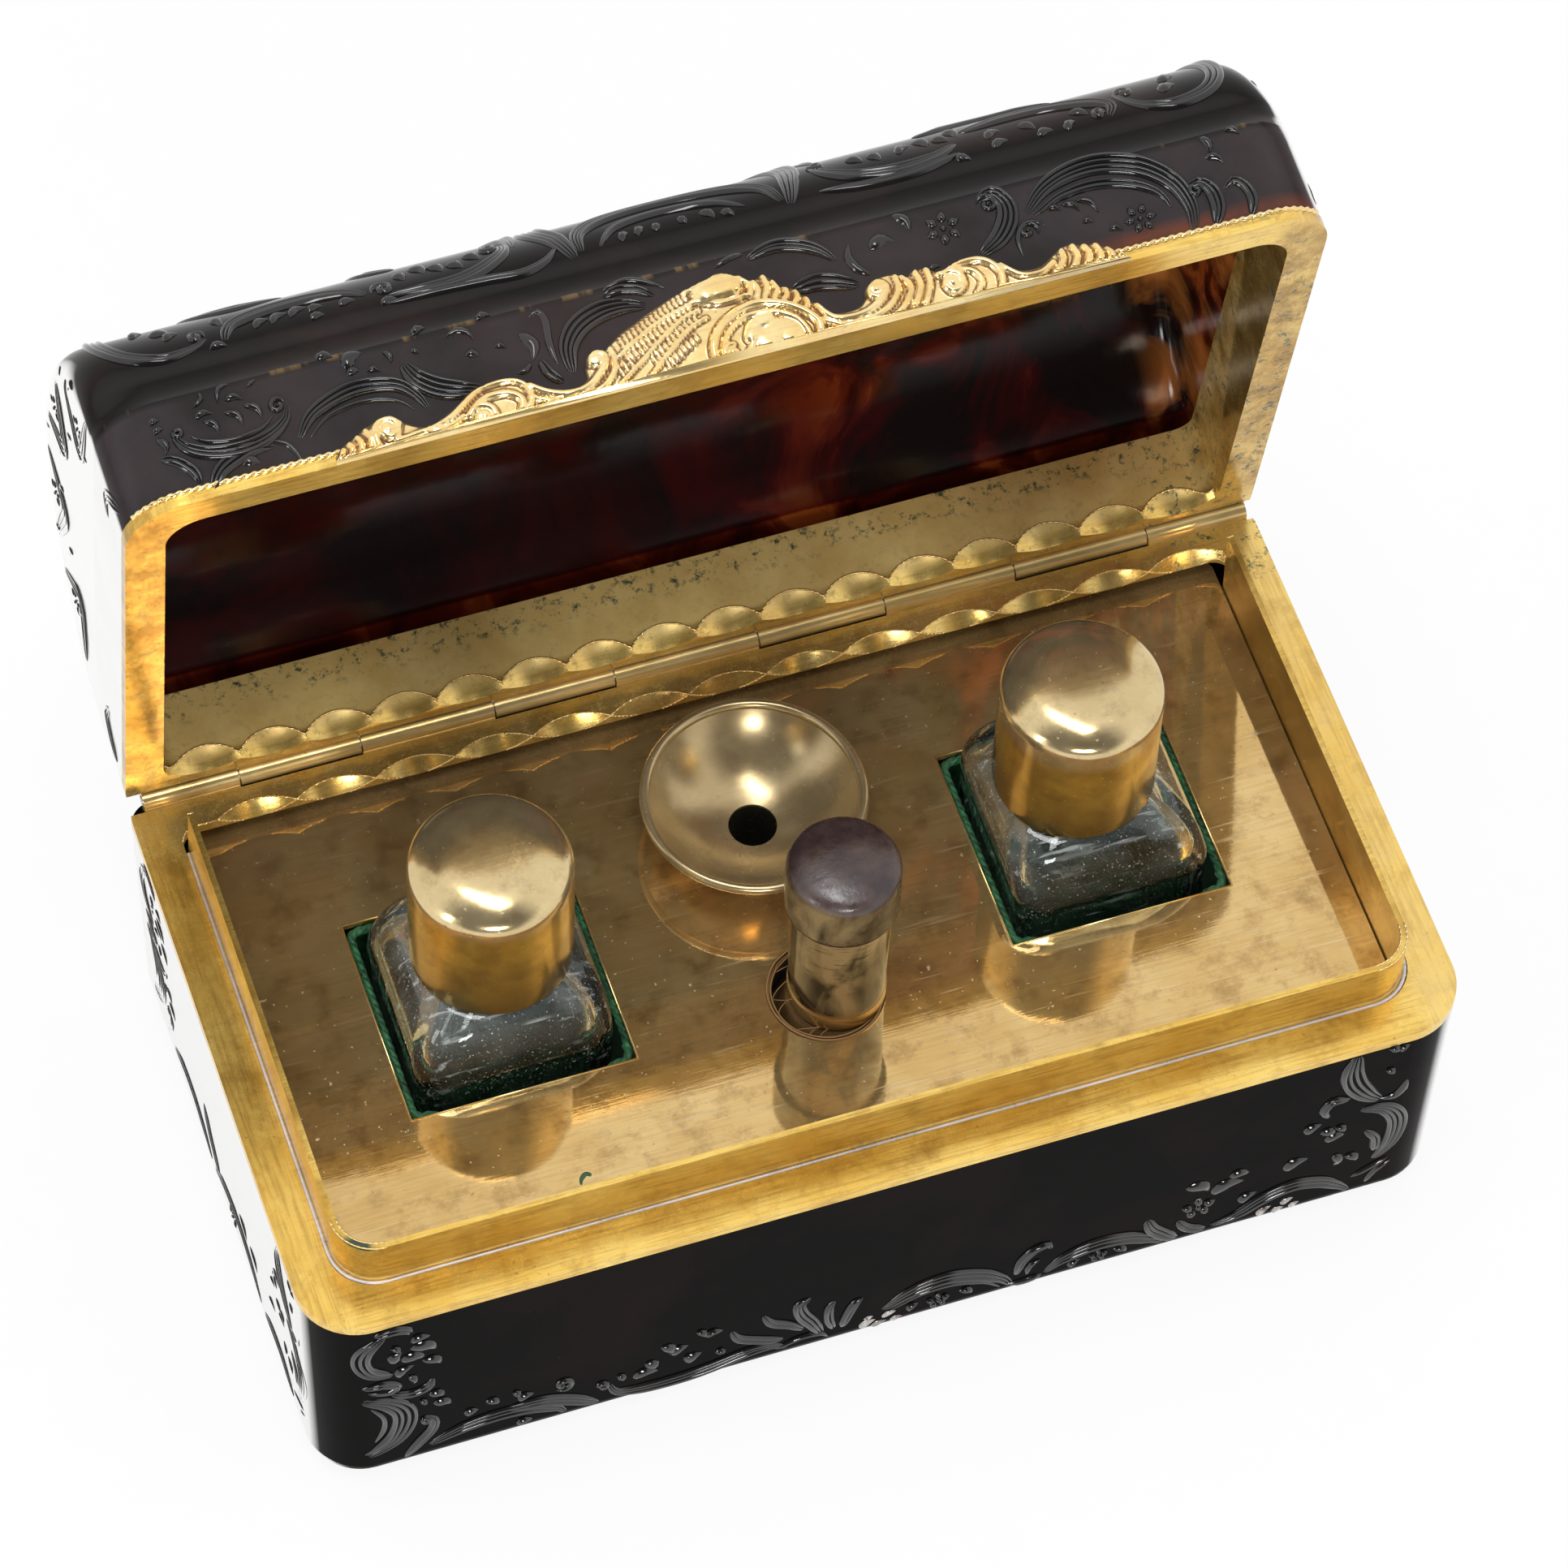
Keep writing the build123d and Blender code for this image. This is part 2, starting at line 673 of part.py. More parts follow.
# Lobes scooped along the rear corner of the lid bezel, kept clear of its two ends
lobe_pitch = 2 * (lid_opening_half - lobe_margin) / lobe_count
lobe_reach = lobe_radius**2 / 2 / lobe_depth
with BuildPart() as lobes:
    with Locations((0, lid_opening_rear - lobe_reach, lid_z - lobe_drop)):
        with GridLocations(lobe_pitch, 0, lobe_count, 1):
            Sphere(sqrt(lobe_radius**2 + lobe_reach**2))
    with BuildSketch(Plane.XY.offset(shell_height)):
        with Locations((0, lid_opening_rear - scoop_front + half_depth)):
            Rectangle(2 * (lid_opening_half - end_gap), body_depth)
    extrude(amount=body_depth, mode=Mode.INTERSECT)

# Lid bezel: a flange with a band up inside the lid, and lobes scooped along its rear corner
with BuildPart() as lid_bezel:
    with BuildSketch(Plane.XY.offset(lid_z)):
        plan(half_length, half_depth, half_depth, front_corner_radius, rear_corner_radius)
        plan(
            lid_opening_half, lid_opening_front, lid_opening_rear,
            lid_corner_radius, inner_corner_radius, mode=Mode.SUBTRACT,
        )
        rear_strip(bezel_rear)
    extrude(amount=bezel_thickness)
    with BuildSketch(Plane.XY.offset(lid_z)):
        plan(
            lid_cavity_half - fit_gap, lid_cavity_depth_half - fit_gap,
            lid_cavity_depth_half - fit_gap, front_corner_radius - lid_wall, inner_corner_radius,
        )
        plan(
            lid_opening_half, lid_opening_front, lid_opening_rear,
            lid_corner_radius, inner_corner_radius, mode=Mode.SUBTRACT,
        )
    extrude(amount=lid_band_height - lid_gap)
    add(lobes.part, mode=Mode.SUBTRACT)
save(swing_open(lid_bezel.part), "lid_bezel")

# Thumbpiece: a scrolled crest that stands proud of the lid's front panel
with BuildPart() as thumbpiece:
    with BuildSketch(Plane.XZ.offset(half_depth + fit_gap)):
        with BuildLine():
            Polyline(
                (thumb_half_length, lid_z), (-thumb_half_length, lid_z),
            )
            Spline(
                (-thumb_half_length, lid_z),
                *[(x, rim_z + z) for x, z in thumb_outline],
                (thumb_half_length, lid_z),
            )
        make_face()
    extrude(amount=thumb_thickness)
save(swing_open(thumbpiece.part), "thumbpiece")
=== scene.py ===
import itertools
import json
import math
import random

import bmesh
import bpy
import numpy
from mathutils import Matrix, Vector, geometry


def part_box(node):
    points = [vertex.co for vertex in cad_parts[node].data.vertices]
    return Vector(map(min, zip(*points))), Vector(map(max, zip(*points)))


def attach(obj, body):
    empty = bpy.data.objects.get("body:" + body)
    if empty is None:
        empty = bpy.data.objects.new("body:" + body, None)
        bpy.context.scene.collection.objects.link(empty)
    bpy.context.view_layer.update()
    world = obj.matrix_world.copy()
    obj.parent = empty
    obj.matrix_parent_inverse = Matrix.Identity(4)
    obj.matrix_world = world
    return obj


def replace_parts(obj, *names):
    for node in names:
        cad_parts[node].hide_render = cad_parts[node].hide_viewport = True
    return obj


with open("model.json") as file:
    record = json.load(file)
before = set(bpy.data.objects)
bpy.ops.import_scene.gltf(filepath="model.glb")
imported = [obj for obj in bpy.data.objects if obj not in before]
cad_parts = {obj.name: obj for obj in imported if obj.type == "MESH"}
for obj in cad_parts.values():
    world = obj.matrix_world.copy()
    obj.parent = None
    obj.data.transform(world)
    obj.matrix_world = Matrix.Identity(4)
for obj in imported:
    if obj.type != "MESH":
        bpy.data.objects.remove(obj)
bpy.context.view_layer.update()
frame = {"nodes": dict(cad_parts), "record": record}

MM = 0.001
nodes = frame["nodes"]
scene = bpy.context.scene

# Main measures in millimetres, with the lid closed
HALF_LENGTH, HALF_DEPTH = 50.0, 26.9
BODY_TOP, LID_FOOT, VAULT_FOOT, FOLD, CROWN = 25.6, 26.7, 27.9, 36.1, 51.0
DOME_HALF, DOME_RISE = 24.9, 14.9
FRONT_EDGE, REAR_EDGE, CROWN_EDGE = 5.25, 2.2, 1.7  # radii of the rounded upright edges and gables
BODY_DRAFT, FOOT_RADIUS = 0.0192, 2.0
HINGE_Y, HINGE_Z, LID_TURN = 26.5, 26.7, -81.5
DECK_TOP = 24.05
CASE_HOLE, CASE_X = (0.4, -6.7), 1.3  # the little case leans a touch to one side of its hole
STUDIO_WHITE = (0.93, 0.92, 0.91)


# Small helpers for node trees and materials
class Nodes:
    def __init__(self, tree):
        self.tree = tree
        tree.nodes.clear()

    def add(self, kind, **props):
        made = self.tree.nodes.new("ShaderNode" + kind)
        for key, value in props.items():
            setattr(made, key, value)
        return made

    def put(self, socket, value):
        if hasattr(value, "is_output"):
            self.tree.links.new(value, socket)
        elif isinstance(value, tuple) and socket.type == "RGBA":
            socket.default_value = (*value, 1)
        else:
            socket.default_value = value

    def fill(self, node, *values):
        """Sets or links a node's inputs, given in turn as input, value, input, value."""
        for key, value in zip(values[::2], values[1::2]):
            self.put(node.inputs[key], value)
        return node

    def ramp(self, source, *stops):
        """Greys or colours by the source's value, given in turn as place, shade, place, shade."""
        node = self.fill(self.add("ValToRGB"), 0, source)
        points = node.color_ramp.elements
        while len(points) < len(stops) // 2:
            points.new(0.5)
        for point, at, shade in zip(points, stops[::2], stops[1::2]):
            point.position = at
            point.color = (*shade, 1) if isinstance(shade, tuple) else (shade, shade, shade, 1)
        return node.outputs[0]

    def mix(self, amount, a, b):
        return self.fill(self.add("Mix", data_type="RGBA"), 0, amount, 6, a, 7, b).outputs[2]


class Look(Nodes):
    SOCKETS = {
        "color": "Base Color", "metal": "Metallic", "rough": "Roughness", "ior": "IOR", "level": "Specular IOR Level",
        "glass": "Transmission Weight", "coat": "Coat Weight", "coat_rough": "Coat Roughness",
        "sheen": "Sheen Weight", "normal": "Normal", "sss": "Subsurface Weight",
    }

    def __init__(self, name):
        self.mat = bpy.data.materials.new(name)
        self.mat.use_nodes = True
        super().__init__(self.mat.node_tree)
        self.out = self.add("OutputMaterial")
        self.bsdf = self.add("BsdfPrincipled")
        self.put(self.out.inputs[0], self.bsdf.outputs[0])
        self.coords = self.add("TexCoord").outputs["Object"]

    def set(self, **values):
        for key, value in values.items():
            self.put(self.bsdf.inputs[self.SOCKETS[key]], value)

    def tint(self, amount, shade, rough=None):
        """Lays a shade over the tone so far and, where it is given, a roughness over the shine."""
        self.tone = self.mix(amount, self.tone, shade)
        if rough:
            self.shine = self.mix(amount, self.shine, (rough, rough, rough))

    def place(self, stretch=(1, 1, 1), turn=(0, 0, 0), shift=(0, 0, 0)):
        node = self.fill(self.add("Mapping"), "Vector", self.coords, "Scale", stretch)
        return self.fill(node, "Rotation", turn, "Location", shift).outputs[0]

    def noise(self, size, detail, rough, stretch=(1, 1, 1), warp=0.0, **where):
        """Cloudy noise whose features are about size millimetres across."""
        return self.fill(self.add("TexNoise"), "Vector", self.place(stretch, **where), "Scale", 1 / (size * MM),
                         "Detail", detail, "Roughness", rough, "Distortion", warp).outputs[0]

    def patches(self, start, end, size, detail, rough, low=0.0, high=1.0, stretch=(1, 1, 1), **where):
        """Noise that goes from low to high between two of its levels."""
        return self.ramp(self.noise(size, detail, rough, stretch, **where), start, low, end, high)

    def cells(self, size):
        return self.fill(self.add("TexVoronoi"), "Vector", self.place(), "Scale", 1 / (size * MM)).outputs["Distance"]

    def math(self, kind, a, b=0.0, clamp=False):
        return self.fill(self.add("Math", operation=kind, use_clamp=clamp), 0, a, 1, b).outputs[0]

    def times(self, first, *others):
        for other in others:
            first = self.math("MULTIPLY", first, other)
        return first

    def plus(self, a, b):
        return self.math("ADD", a, b, True)

    def axis(self, which):
        return self.fill(self.add("SeparateXYZ"), 0, self.coords).outputs[which]

    def band(self, which, start, end, soft):
        """1 between two places along an axis, in millimetres, falling to 0 over soft."""
        value = self.axis(which)
        return self.times(*(
            self.fill(self.add("MapRange"), 0, value, 1, low * MM, 2, high * MM).outputs[0]
            for low, high in ((start - soft, start + soft), (end + soft, end - soft))
        ))

    def lid_band(self, start, end, soft):
        """1 between two heights of the closed lid, measured square to its rim as it stands open."""
        along = self.add("VectorMath", operation="DOT_PRODUCT")
        self.fill(along, 0, self.coords)
        along.inputs[1].default_value = (0, 0.989, 0.148)
        height = self.math("SUBTRACT", self.times(along.outputs["Value"], 1 / MM), 3.46)
        up = self.math("MULTIPLY", self.math("SUBTRACT", height, start), 1 / soft, True)
        down = self.math("MULTIPLY", self.math("SUBTRACT", end, height), 1 / soft, True)
        return self.times(up, down)

    def bump(self, height, strength, distance, under=None):
        node = self.fill(self.add("Bump"), "Strength", strength, "Distance", distance * MM, "Height", height)
        if under:
            self.put(node.inputs["Normal"], under)
        return node.outputs[0]


# Gilt and brass: cloudy patina, stains, flecks and brush marks over a plain metal
def metal(name, main, dark, bright, rough, wear=0.4, fleck=0.7, patina=12.0, streaks=0.2, ring=False, dust=0.0,
          wave=0.3, worn=0.22, brush=0.12):
    look = Look(name)
    cloud, fine = look.noise(patina, 5, 0.6), look.noise(0.6, 4, 0.6)
    along = look.noise(0.28, 3, 0.6, stretch=(0.05, 1, 1))
    if ring:
        ends = look.ramp(look.math("ABSOLUTE", look.times(look.axis(0), 10.0)), 0.455, 0, 0.475, 1)
        along = look.mix(ends, along, look.noise(0.28, 3, 0.6, stretch=(1, 0.05, 0.3)))
    look.tone = main
    look.tint(look.ramp(cloud, 0.38, 0, 0.66, 1), bright)
    look.tint(look.patches(0.5, 0.75, patina * 0.45, 6, 0.7, high=wear, shift=(0.3, 0.1, 0.2)), dark)
    look.tint(look.patches(0.71, 0.77, 0.5, 2, 0.5, high=fleck, shift=(0.11, 0.2, 0.5)), dark)
    look.tint(look.ramp(along, 0.35, streaks, 0.55, 0), dark)
    look.shine = look.ramp(look.mix(0.5, cloud, fine), 0.3, rough * 0.8, 0.7, rough * 1.25)
    if dust:
        grit = look.patches(0.735, 0.77, 0.45, 1, 0.4, high=dust, shift=(0.5, 0.2, 0.1))
        look.tint(grit, (0.75, 0.66, 0.5), 0.9)
    look.set(color=look.tone, rough=look.shine, metal=1 - worn)
    dents = look.bump(look.noise(7, 2, 0.5), wave, 0.3)
    look.set(normal=look.bump(look.mix(0.3, along, fine), brush, 0.05, dents))
    return look


look = gilt = metal("gilt", (0.86, 0.55, 0.11), (0.42, 0.22, 0.04), (0.98, 0.71, 0.20), 0.2, wear=0.8, patina=9.0,
                    ring=True, streaks=0.45, worn=0.25, wave=0.15)
rear = look.plus(look.band(1, 22, 27, 1.5), look.band(0, 46, 51, 1))
look.tint(look.times(rear, look.patches(0.3, 0.7, 3.5, 5, 0.65, 0.1, 0.6)), (0.82, 0.60, 0.25))
# The lid's inner rear band: a paler gilt, duller and less metallic. Its paleness is partly painted light, since the
# band faces up with the lid open.
lid_wall = look.band(1, 27.2, 36, 0.4)
pale = look.mix(look.patches(0.35, 0.65, 5, 5, 0.65, shift=(0.2, 0.1, 0)), (0.80, 0.55, 0.18), (0.97, 0.73, 0.28))
look.tint(lid_wall, pale)
crusted = look.plus(look.band(1, 30.6, 35, 0.7), look.times(look.band(0, 41, 51, 2), look.band(1, 20, 34, 2)))
crusted = look.plus(crusted, look.times(look.band(1, 20.5, 29, 1.5), 0.35))
crust = look.times(look.patches(0.53, 0.6, 1.1, 9, 0.8), look.math("MAXIMUM", crusted, 0.04))
corner = look.times(look.band(0, -46.6, -43.4, 0.5), look.band(1, -23.6, -21, 0.6), look.band(2, 31.2, 32, 0.2))
crust = look.math("MAXIMUM", crust, look.times(corner, look.patches(0.38, 0.5, 1.5, 4, 0.6)))
ends = look.plus(look.band(0, -52, -45.8, 0.6), look.band(0, 45.8, 52, 0.6))
smudge = look.times(ends, look.patches(0.4, 0.62, 3.4, 6, 0.7, 0.25, 0.9, shift=(0.4, 0.2, 0.3)))
look.tint(look.times(smudge, look.band(2, 29.5, 78, 0.8)), (0.34, 0.175, 0.02))
look.tint(crust, (0.035, 0.06, 0.04))
look.set(color=look.tone, rough=look.mix(lid_wall, look.shine, (0.34, 0.34, 0.34)),
         metal=look.ramp(look.plus(crust, look.times(lid_wall, 0.35)), 0, 0.75, 0.35, 0.4, 1, 0.1))

look = thumb_gilt = metal("thumb_gilt", (0.93, 0.66, 0.26), (0.55, 0.30, 0.16), (1.0, 0.82, 0.42), 0.17, wear=0.3,
                          patina=5.0, wave=0.1, worn=0.15)
# Painted shade, with a duller roughness, in the hollows beside the crest's raised lines.
look.tint(look.ramp(look.add("Attribute", attribute_name="hollow_shade").outputs["Fac"], 0.15, 0, 0.8, 0.92),
          (0.20, 0.09, 0.05), 0.5)
look.set(color=look.tone, rough=look.shine)

look = deck_brass = metal("deck_brass", (0.70, 0.465, 0.175), (0.34, 0.195, 0.07), (0.81, 0.58, 0.255), 0.045,
                          wear=0.9, patina=7.0, dust=0.35, wave=0.04, worn=0.25, brush=0.05)
for turned, moved in ((0.5, 0.0), (-0.35, 0.4), (1.3, 0.8)):
    scratches = look.patches(0.67, 0.73, 0.5, 2, 0.5, high=0.4, stretch=(0.05, 1, 1), turn=(0, 0, turned),
                             shift=(moved, 0, 0))
    look.tint(scratches, (0.86, 0.70, 0.42), 0.3)
look.set(color=look.tone, rough=look.shine)

hinge_brass = metal("hinge_brass", (0.80, 0.57, 0.22), (0.46, 0.30, 0.1), (0.92, 0.70, 0.32), 0.2, worn=0.3)
pin_steel = metal("pin_steel", (0.5, 0.48, 0.44), (0.2, 0.17, 0.14), (0.62, 0.6, 0.55), 0.3)

look = cap_brass = metal("cap_brass", (0.65, 0.50, 0.26), (0.35, 0.25, 0.12), (0.77, 0.61, 0.33), 0.17, wear=0.6,
                         patina=5.0, streaks=0.05, dust=0.2, wave=0.08, worn=0.15, brush=0.08)
# Painted shade on the cap's wall below the dome: a darker, deeper gold, darkest towards the foot.
height = look.times(look.axis(2), 10.0)
wall = look.math("SUBTRACT", 1.0, look.ramp(height, 0.425, 0, 0.435, 1))
wall_shade_tone = look.mix(look.patches(0.4, 0.62, 3.2, 5, 0.6, shift=(0.2, 0, 0.1)), (0.76, 0.50, 0.08), (0.46, 0.28, 0.045))
wall_shade_tone = look.mix(look.ramp(height, 0.325, 0.75, 0.40, 0), wall_shade_tone, (0.20, 0.115, 0.025))
look.tint(look.times(wall, 0.85), wall_shade_tone)
look.set(color=look.tone)

look = funnel_brass = metal("funnel_brass", (0.52, 0.39, 0.20), (0.27, 0.19, 0.09), (0.68, 0.54, 0.30), 0.24,
                            patina=7.0, streaks=0.1, wave=0.1, worn=0.35, brush=0.08, fleck=0.25, wear=0.3)
# Painted shade down the spout: near black and not metallic below the bowl.
spout_shade = look.band(2, 0, 24.5, 0.1)
look.tint(spout_shade, (0.03, 0.028, 0.02))
look.set(color=look.tone, metal=look.ramp(spout_shade, 0, 0.7, 1, 0))

case_gilt = metal("case_gilt", (0.80, 0.50, 0.16), (0.40, 0.22, 0.07), (0.86, 0.62, 0.26), 0.2)
# A pale grey metal for the bead at the lip's foot.
pale_seam = metal("pale_seam", (0.55, 0.52, 0.53), (0.2, 0.19, 0.2), (0.78, 0.74, 0.78), 0.3, worn=0.6)


# Tortoiseshell: near black, and mirror-like only where it is seen almost edge on
def shell(name, base, red, gleam, grazing=True, low=0.05, corner=(0.45, 0.75), ior=1.5):
    look = Look(name)
    look.tone = base
    look.tint(look.patches(0.5, 0.74, 16, 4, 0.55, warp=0.4), red)
    look.tint(look.patches(0.72, 0.79, 0.45, 3, 0.6, high=0.4), (0.07, 0.065, 0.06))
    look.set(level=gleam * low if grazing else gleam)
    if grazing:
        facing = look.add("LayerWeight").outputs["Facing"]
        way = look.fill(look.add("SeparateXYZ"), 0, look.add("TexCoord").outputs["Normal"])
        gable = look.ramp(look.math("ABSOLUTE", way.outputs[0]), corner[0], 0, corner[1], 1)
        look.mirror = look.times(look.ramp(facing, 0.7, 0, 0.8, 0.9), gable)
        look.tint(look.mirror, STUDIO_WHITE)
        look.set(metal=look.mirror, level=look.ramp(facing, 0.28, gleam, 0.46, gleam * low))
    look.set(color=look.tone, ior=ior, rough=look.patches(0.35, 0.65, 5, 5, 0.6, 0.07, 0.13),
             normal=look.bump(look.noise(9, 3, 0.5), 0.15, 0.2))
    return look


body_horn = shell("tortoiseshell_body", (0.003, 0.0025, 0.0022), (0.009, 0.0045, 0.004), 0.25)
look = lid_horn = shell("tortoiseshell_lid", (0.008, 0.0065, 0.006), (0.026, 0.014, 0.011), 0.24, low=0.12,
                        corner=(0.6, 0.9))
# Painted sheen: a lighter tone, in soft clouds, on the lid's faces below the fold, which face the sky with the lid
# open.
panel_sheen = look.patches(0.3, 0.7, 9, 4, 0.6, 0.15, 0.9, shift=(0.1, 0.3, 0.2))
look.tint(look.times(look.lid_band(27.6, 36, 0.5), panel_sheen), (0.042, 0.031, 0.034))
strip = look.times(look.lid_band(27, 29.6, 1.2), look.band(0, 30, 60, 4), look.patches(0.3, 0.6, 4, 4, 0.6, 0.3))
look.tint(strip, (0.13, 0.035, 0.015))
dashes = look.patches(0.56, 0.64, 2.2, 3, 0.6, high=0.8, stretch=(1, 0.1, 0.1))
look.tint(look.times(look.lid_band(35.7, 36.5, 0.3), dashes), (0.16, 0.10, 0.035))
look.tint(look.mirror, STUDIO_WHITE)
look.set(color=look.tone)
carved_body = shell("tortoiseshell_carved", (0.010, 0.0095, 0.009), (0.03, 0.024, 0.02), 0.8, grazing=False)
carved_lid = shell("tortoiseshell_carved_lid", (0.010, 0.009, 0.009), (0.022, 0.016, 0.014), 0.45, grazing=False,
                   ior=1.6)

look = glass = Look("clear_glass")
haze = look.patches(0.35, 0.7, 7, 3, 0.5, 0.05, warp=0.8)
cloud = look.times(haze, 0.15, look.band(2, 28.2, 60, 2.2))
lint = look.patches(0.66, 0.72, 0.24, 2, 0.5, high=0.55)
scratches = look.patches(0.62, 0.7, 0.6, 2, 0.5, high=0.3, stretch=(0.1, 1, 0.6), turn=(0, 0, 0.7))
veil = look.plus(look.math("MAXIMUM", lint, scratches), cloud)
look.set(color=look.mix(veil, (0.80, 0.88, 0.85), (0.86, 0.88, 0.88)), glass=look.ramp(veil, 0, 1, 1, 0), ior=1.48,
         rough=look.ramp(haze, 0, 0.01, 1, 0.05), normal=look.bump(look.noise(5.5, 2, 0.4, warp=0.6), 0.18, 0.3))


# Stuffs of two shades, with a fine grain
def stuff(name, patches, dark, light, grain, depth, **values):
    look = Look(name)
    look.set(color=look.mix(look.patches(*patches), dark, light),
             normal=look.bump(look.noise(*grain), *depth), **values)
    return look


green_silk = stuff("green_silk", (0.35, 0.7, 1.4, 4, 0.6), (0.007, 0.055, 0.02), (0.03, 0.20, 0.07), (0.25, 2, 0.5),
                   (0.6, 0.12), rough=0.5, sheen=0.12)
# The brown silk's own colour, darkened as painted shade for the deep round wells.
brown_silk = stuff("brown_silk", (0.35, 0.7, 1.2, 4, 0.6), (0.035, 0.02, 0.012), (0.11, 0.065, 0.035), (0.2, 2, 0.5),
                   (0.6, 0.1), rough=0.65, sheen=0.3)

look = hair = Look("horsehair")
# Painted shade: hair lower in the case's well, below about 23 mm, is near black; hair higher up is golden brown.
look.set(color=look.mix(look.ramp(look.axis(2), 0.0228, 0, 0.0236, 1), (0.012, 0.006, 0.003), (0.42, 0.24, 0.09)),
         rough=0.4, normal=look.bump(look.noise(0.3, 3, 0.6, stretch=(0.15, 1, 1)), 0.5, 0.1))

wood = stuff("block_wood", (0.35, 0.7, 1.1, 5, 0.6, 0, 1, (0.08, 1, 1)), (0.10, 0.05, 0.025), (0.26, 0.15, 0.08),
             (0.5, 4, 0.6, (0.06, 1, 1)), (0.4, 0.15), rough=0.7)

look = cork = Look("cork")
look.set(color=look.mix(look.ramp(look.cells(0.8), 0.1, 0, 0.6, 1), (0.20, 0.11, 0.05), (0.46, 0.30, 0.16)),
         rough=0.85, normal=look.bump(look.cells(0.8), 0.6, 0.2))

look = horn = Look("horn")
look.tone = (0.024, 0.016, 0.009)
look.tint(look.patches(0.45, 0.6, 4.2, 4, 0.5, stretch=(1, 1, 0.45), warp=0.6), (0.30, 0.20, 0.085))
lines = look.patches(0.58, 0.66, 0.5, 3, 0.6, high=0.7, stretch=(0.2, 0.2, 1.6))
look.tint(look.times(lines, look.band(2, 31, 38.2, 0.8)), (0.012, 0.009, 0.006))
look.tint(look.times(look.band(2, 23, 25.9, 0.25), 0.8), (0.36, 0.17, 0.05))
look.set(color=look.tone, rough=0.13, ior=1.54, coat=0.4, coat_rough=0.08,
         normal=look.bump(look.noise(1.2, 4, 0.6, stretch=(1, 1, 0.2)), 0.25, 0.15))

look = horn_cap = Look("horn_cap")
look.tone = (0.035, 0.021, 0.021)
look.tint(look.patches(0.4, 0.7, 3, 5, 0.6), (0.085, 0.055, 0.048))
streaks = look.patches(0.42, 0.6, 4, 4, 0.5, stretch=(1, 1, 0.4), warp=0.5, shift=(0.1, 0.2, 0))
look.tint(look.band(2, 30, 42.9, 0.5), look.mix(streaks, (0.03, 0.02, 0.013), (0.24, 0.17, 0.08)))
look.tint(look.band(2, 36, 38.25, 0.08), (0.008, 0.005, 0.004))
look.set(color=look.tone, rough=look.patches(0.4, 0.65, 1.4, 5, 0.7, 0.18, 0.42), ior=1.55,
         normal=look.bump(look.noise(1.5, 5, 0.65), 0.5, 0.12))

balm = stuff("balm", (0.4, 0.7, 1.5, 4, 0.6), (0.45, 0.28, 0.18), (0.60, 0.42, 0.28), (1.0, 3, 0.6), (0.4, 0.1),
             rough=0.5, sss=0.2)

finishes = {
    "tortoiseshell": body_horn, "gilt": gilt, "thumb_gilt": thumb_gilt, "deck_brass": deck_brass,
    "hinge_brass": hinge_brass, "pin_steel": pin_steel, "cap_brass": cap_brass, "funnel_brass": funnel_brass,
    "block_wood": wood, "green_silk": green_silk, "brown_silk": brown_silk, "horsehair": hair, "clear_glass": glass,
    "cork": cork, "horn": horn, "horn_cap": horn_cap, "case_gilt": case_gilt, "balm": balm,
}
for part in frame["record"]["subparts"]:
    finish = lid_horn if part["node"] == "lid_shell" else finishes[part["material_slot"]]
    for place in nodes[part["node"]].material_slots:
        place.material = finish.mat

look = inside_horn = Look("tortoiseshell_inside")
# Light shining through the shell, painted into its colour: an amber glow in patches over the shell's own near-black
# and red, rising towards the right end and stronger inside by the hinge, with painted amber streaks at the right end.
depth = look.patches(0.41, 0.62, 11, 5, 0.55, warp=0.9, shift=(0.02, 0, 0.01))
reach = look.ramp(look.times(look.axis(0), 10.0), 0, 0.3, 0.12, 0.6, 0.28, 1)
front = look.times(look.band(1, 26, 35.3, 0.15), look.band(2, 20, 33, 0.5))
glow = look.plus(look.times(depth, reach), look.times(front, look.ramp(depth, 0, 0.3, 1, 0.5)))
look.tone = look.ramp(glow, 0, (0.008, 0.004, 0.0035), 0.35, (0.035, 0.003, 0.0025), 0.65, (0.10, 0.012, 0.004),
                      1, (0.30, 0.065, 0.012))
streaks = look.patches(0.42, 0.62, 7, 4, 0.55, high=0.85, stretch=(1, 0.5, 1), warp=0.6)
look.tint(look.times(look.band(0, 44.5, 60, 1), streaks), (0.55, 0.19, 0.04))
look.set(color=look.tone, rough=0.14, ior=1.3, normal=look.bump(look.noise(7, 3, 0.5), 0.25, 0.3))

look = nacre = Look("nacre")
clouds = look.noise(0.9, 4, 0.6, warp=0.6)
look.set(color=look.ramp(clouds, 0.35, (0.10, 0.02, 0.025), 0.5, (0.42, 0.38, 0.36), 0.7, (0.75, 0.78, 0.72)),
         rough=0.2, ior=1.6, normal=look.bump(look.noise(0.8, 4, 0.6), 0.5, 0.1))


# Geometry helpers, in millimetres
def piece(name, verts, faces, look, body):
    mesh = bpy.data.meshes.new(name)
    mesh.from_pydata([Vector(v) * MM for v in verts], [], faces)
    mesh.materials.append(look.mat)
    mesh.shade_smooth()
    made = bpy.data.objects.new(name, mesh)
    scene.collection.objects.link(made)
    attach(made, body)
    return made


def span(node):
    """The middle of a node's box in plan, half its length, and its lower and upper corners."""
    low, high = (Vector(corner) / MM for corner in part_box(node))
    return (low.x + high.x) / 2, (low.y + high.y) / 2, (high.x - low.x) / 2, low, high


def pairs(numbers):
    return list(zip(numbers[::2], numbers[1::2]))


def ease(value, low, high):
    t = min(max((value - low) / (high - low), 0), 1)
    return t * t * (3 - 2 * t)


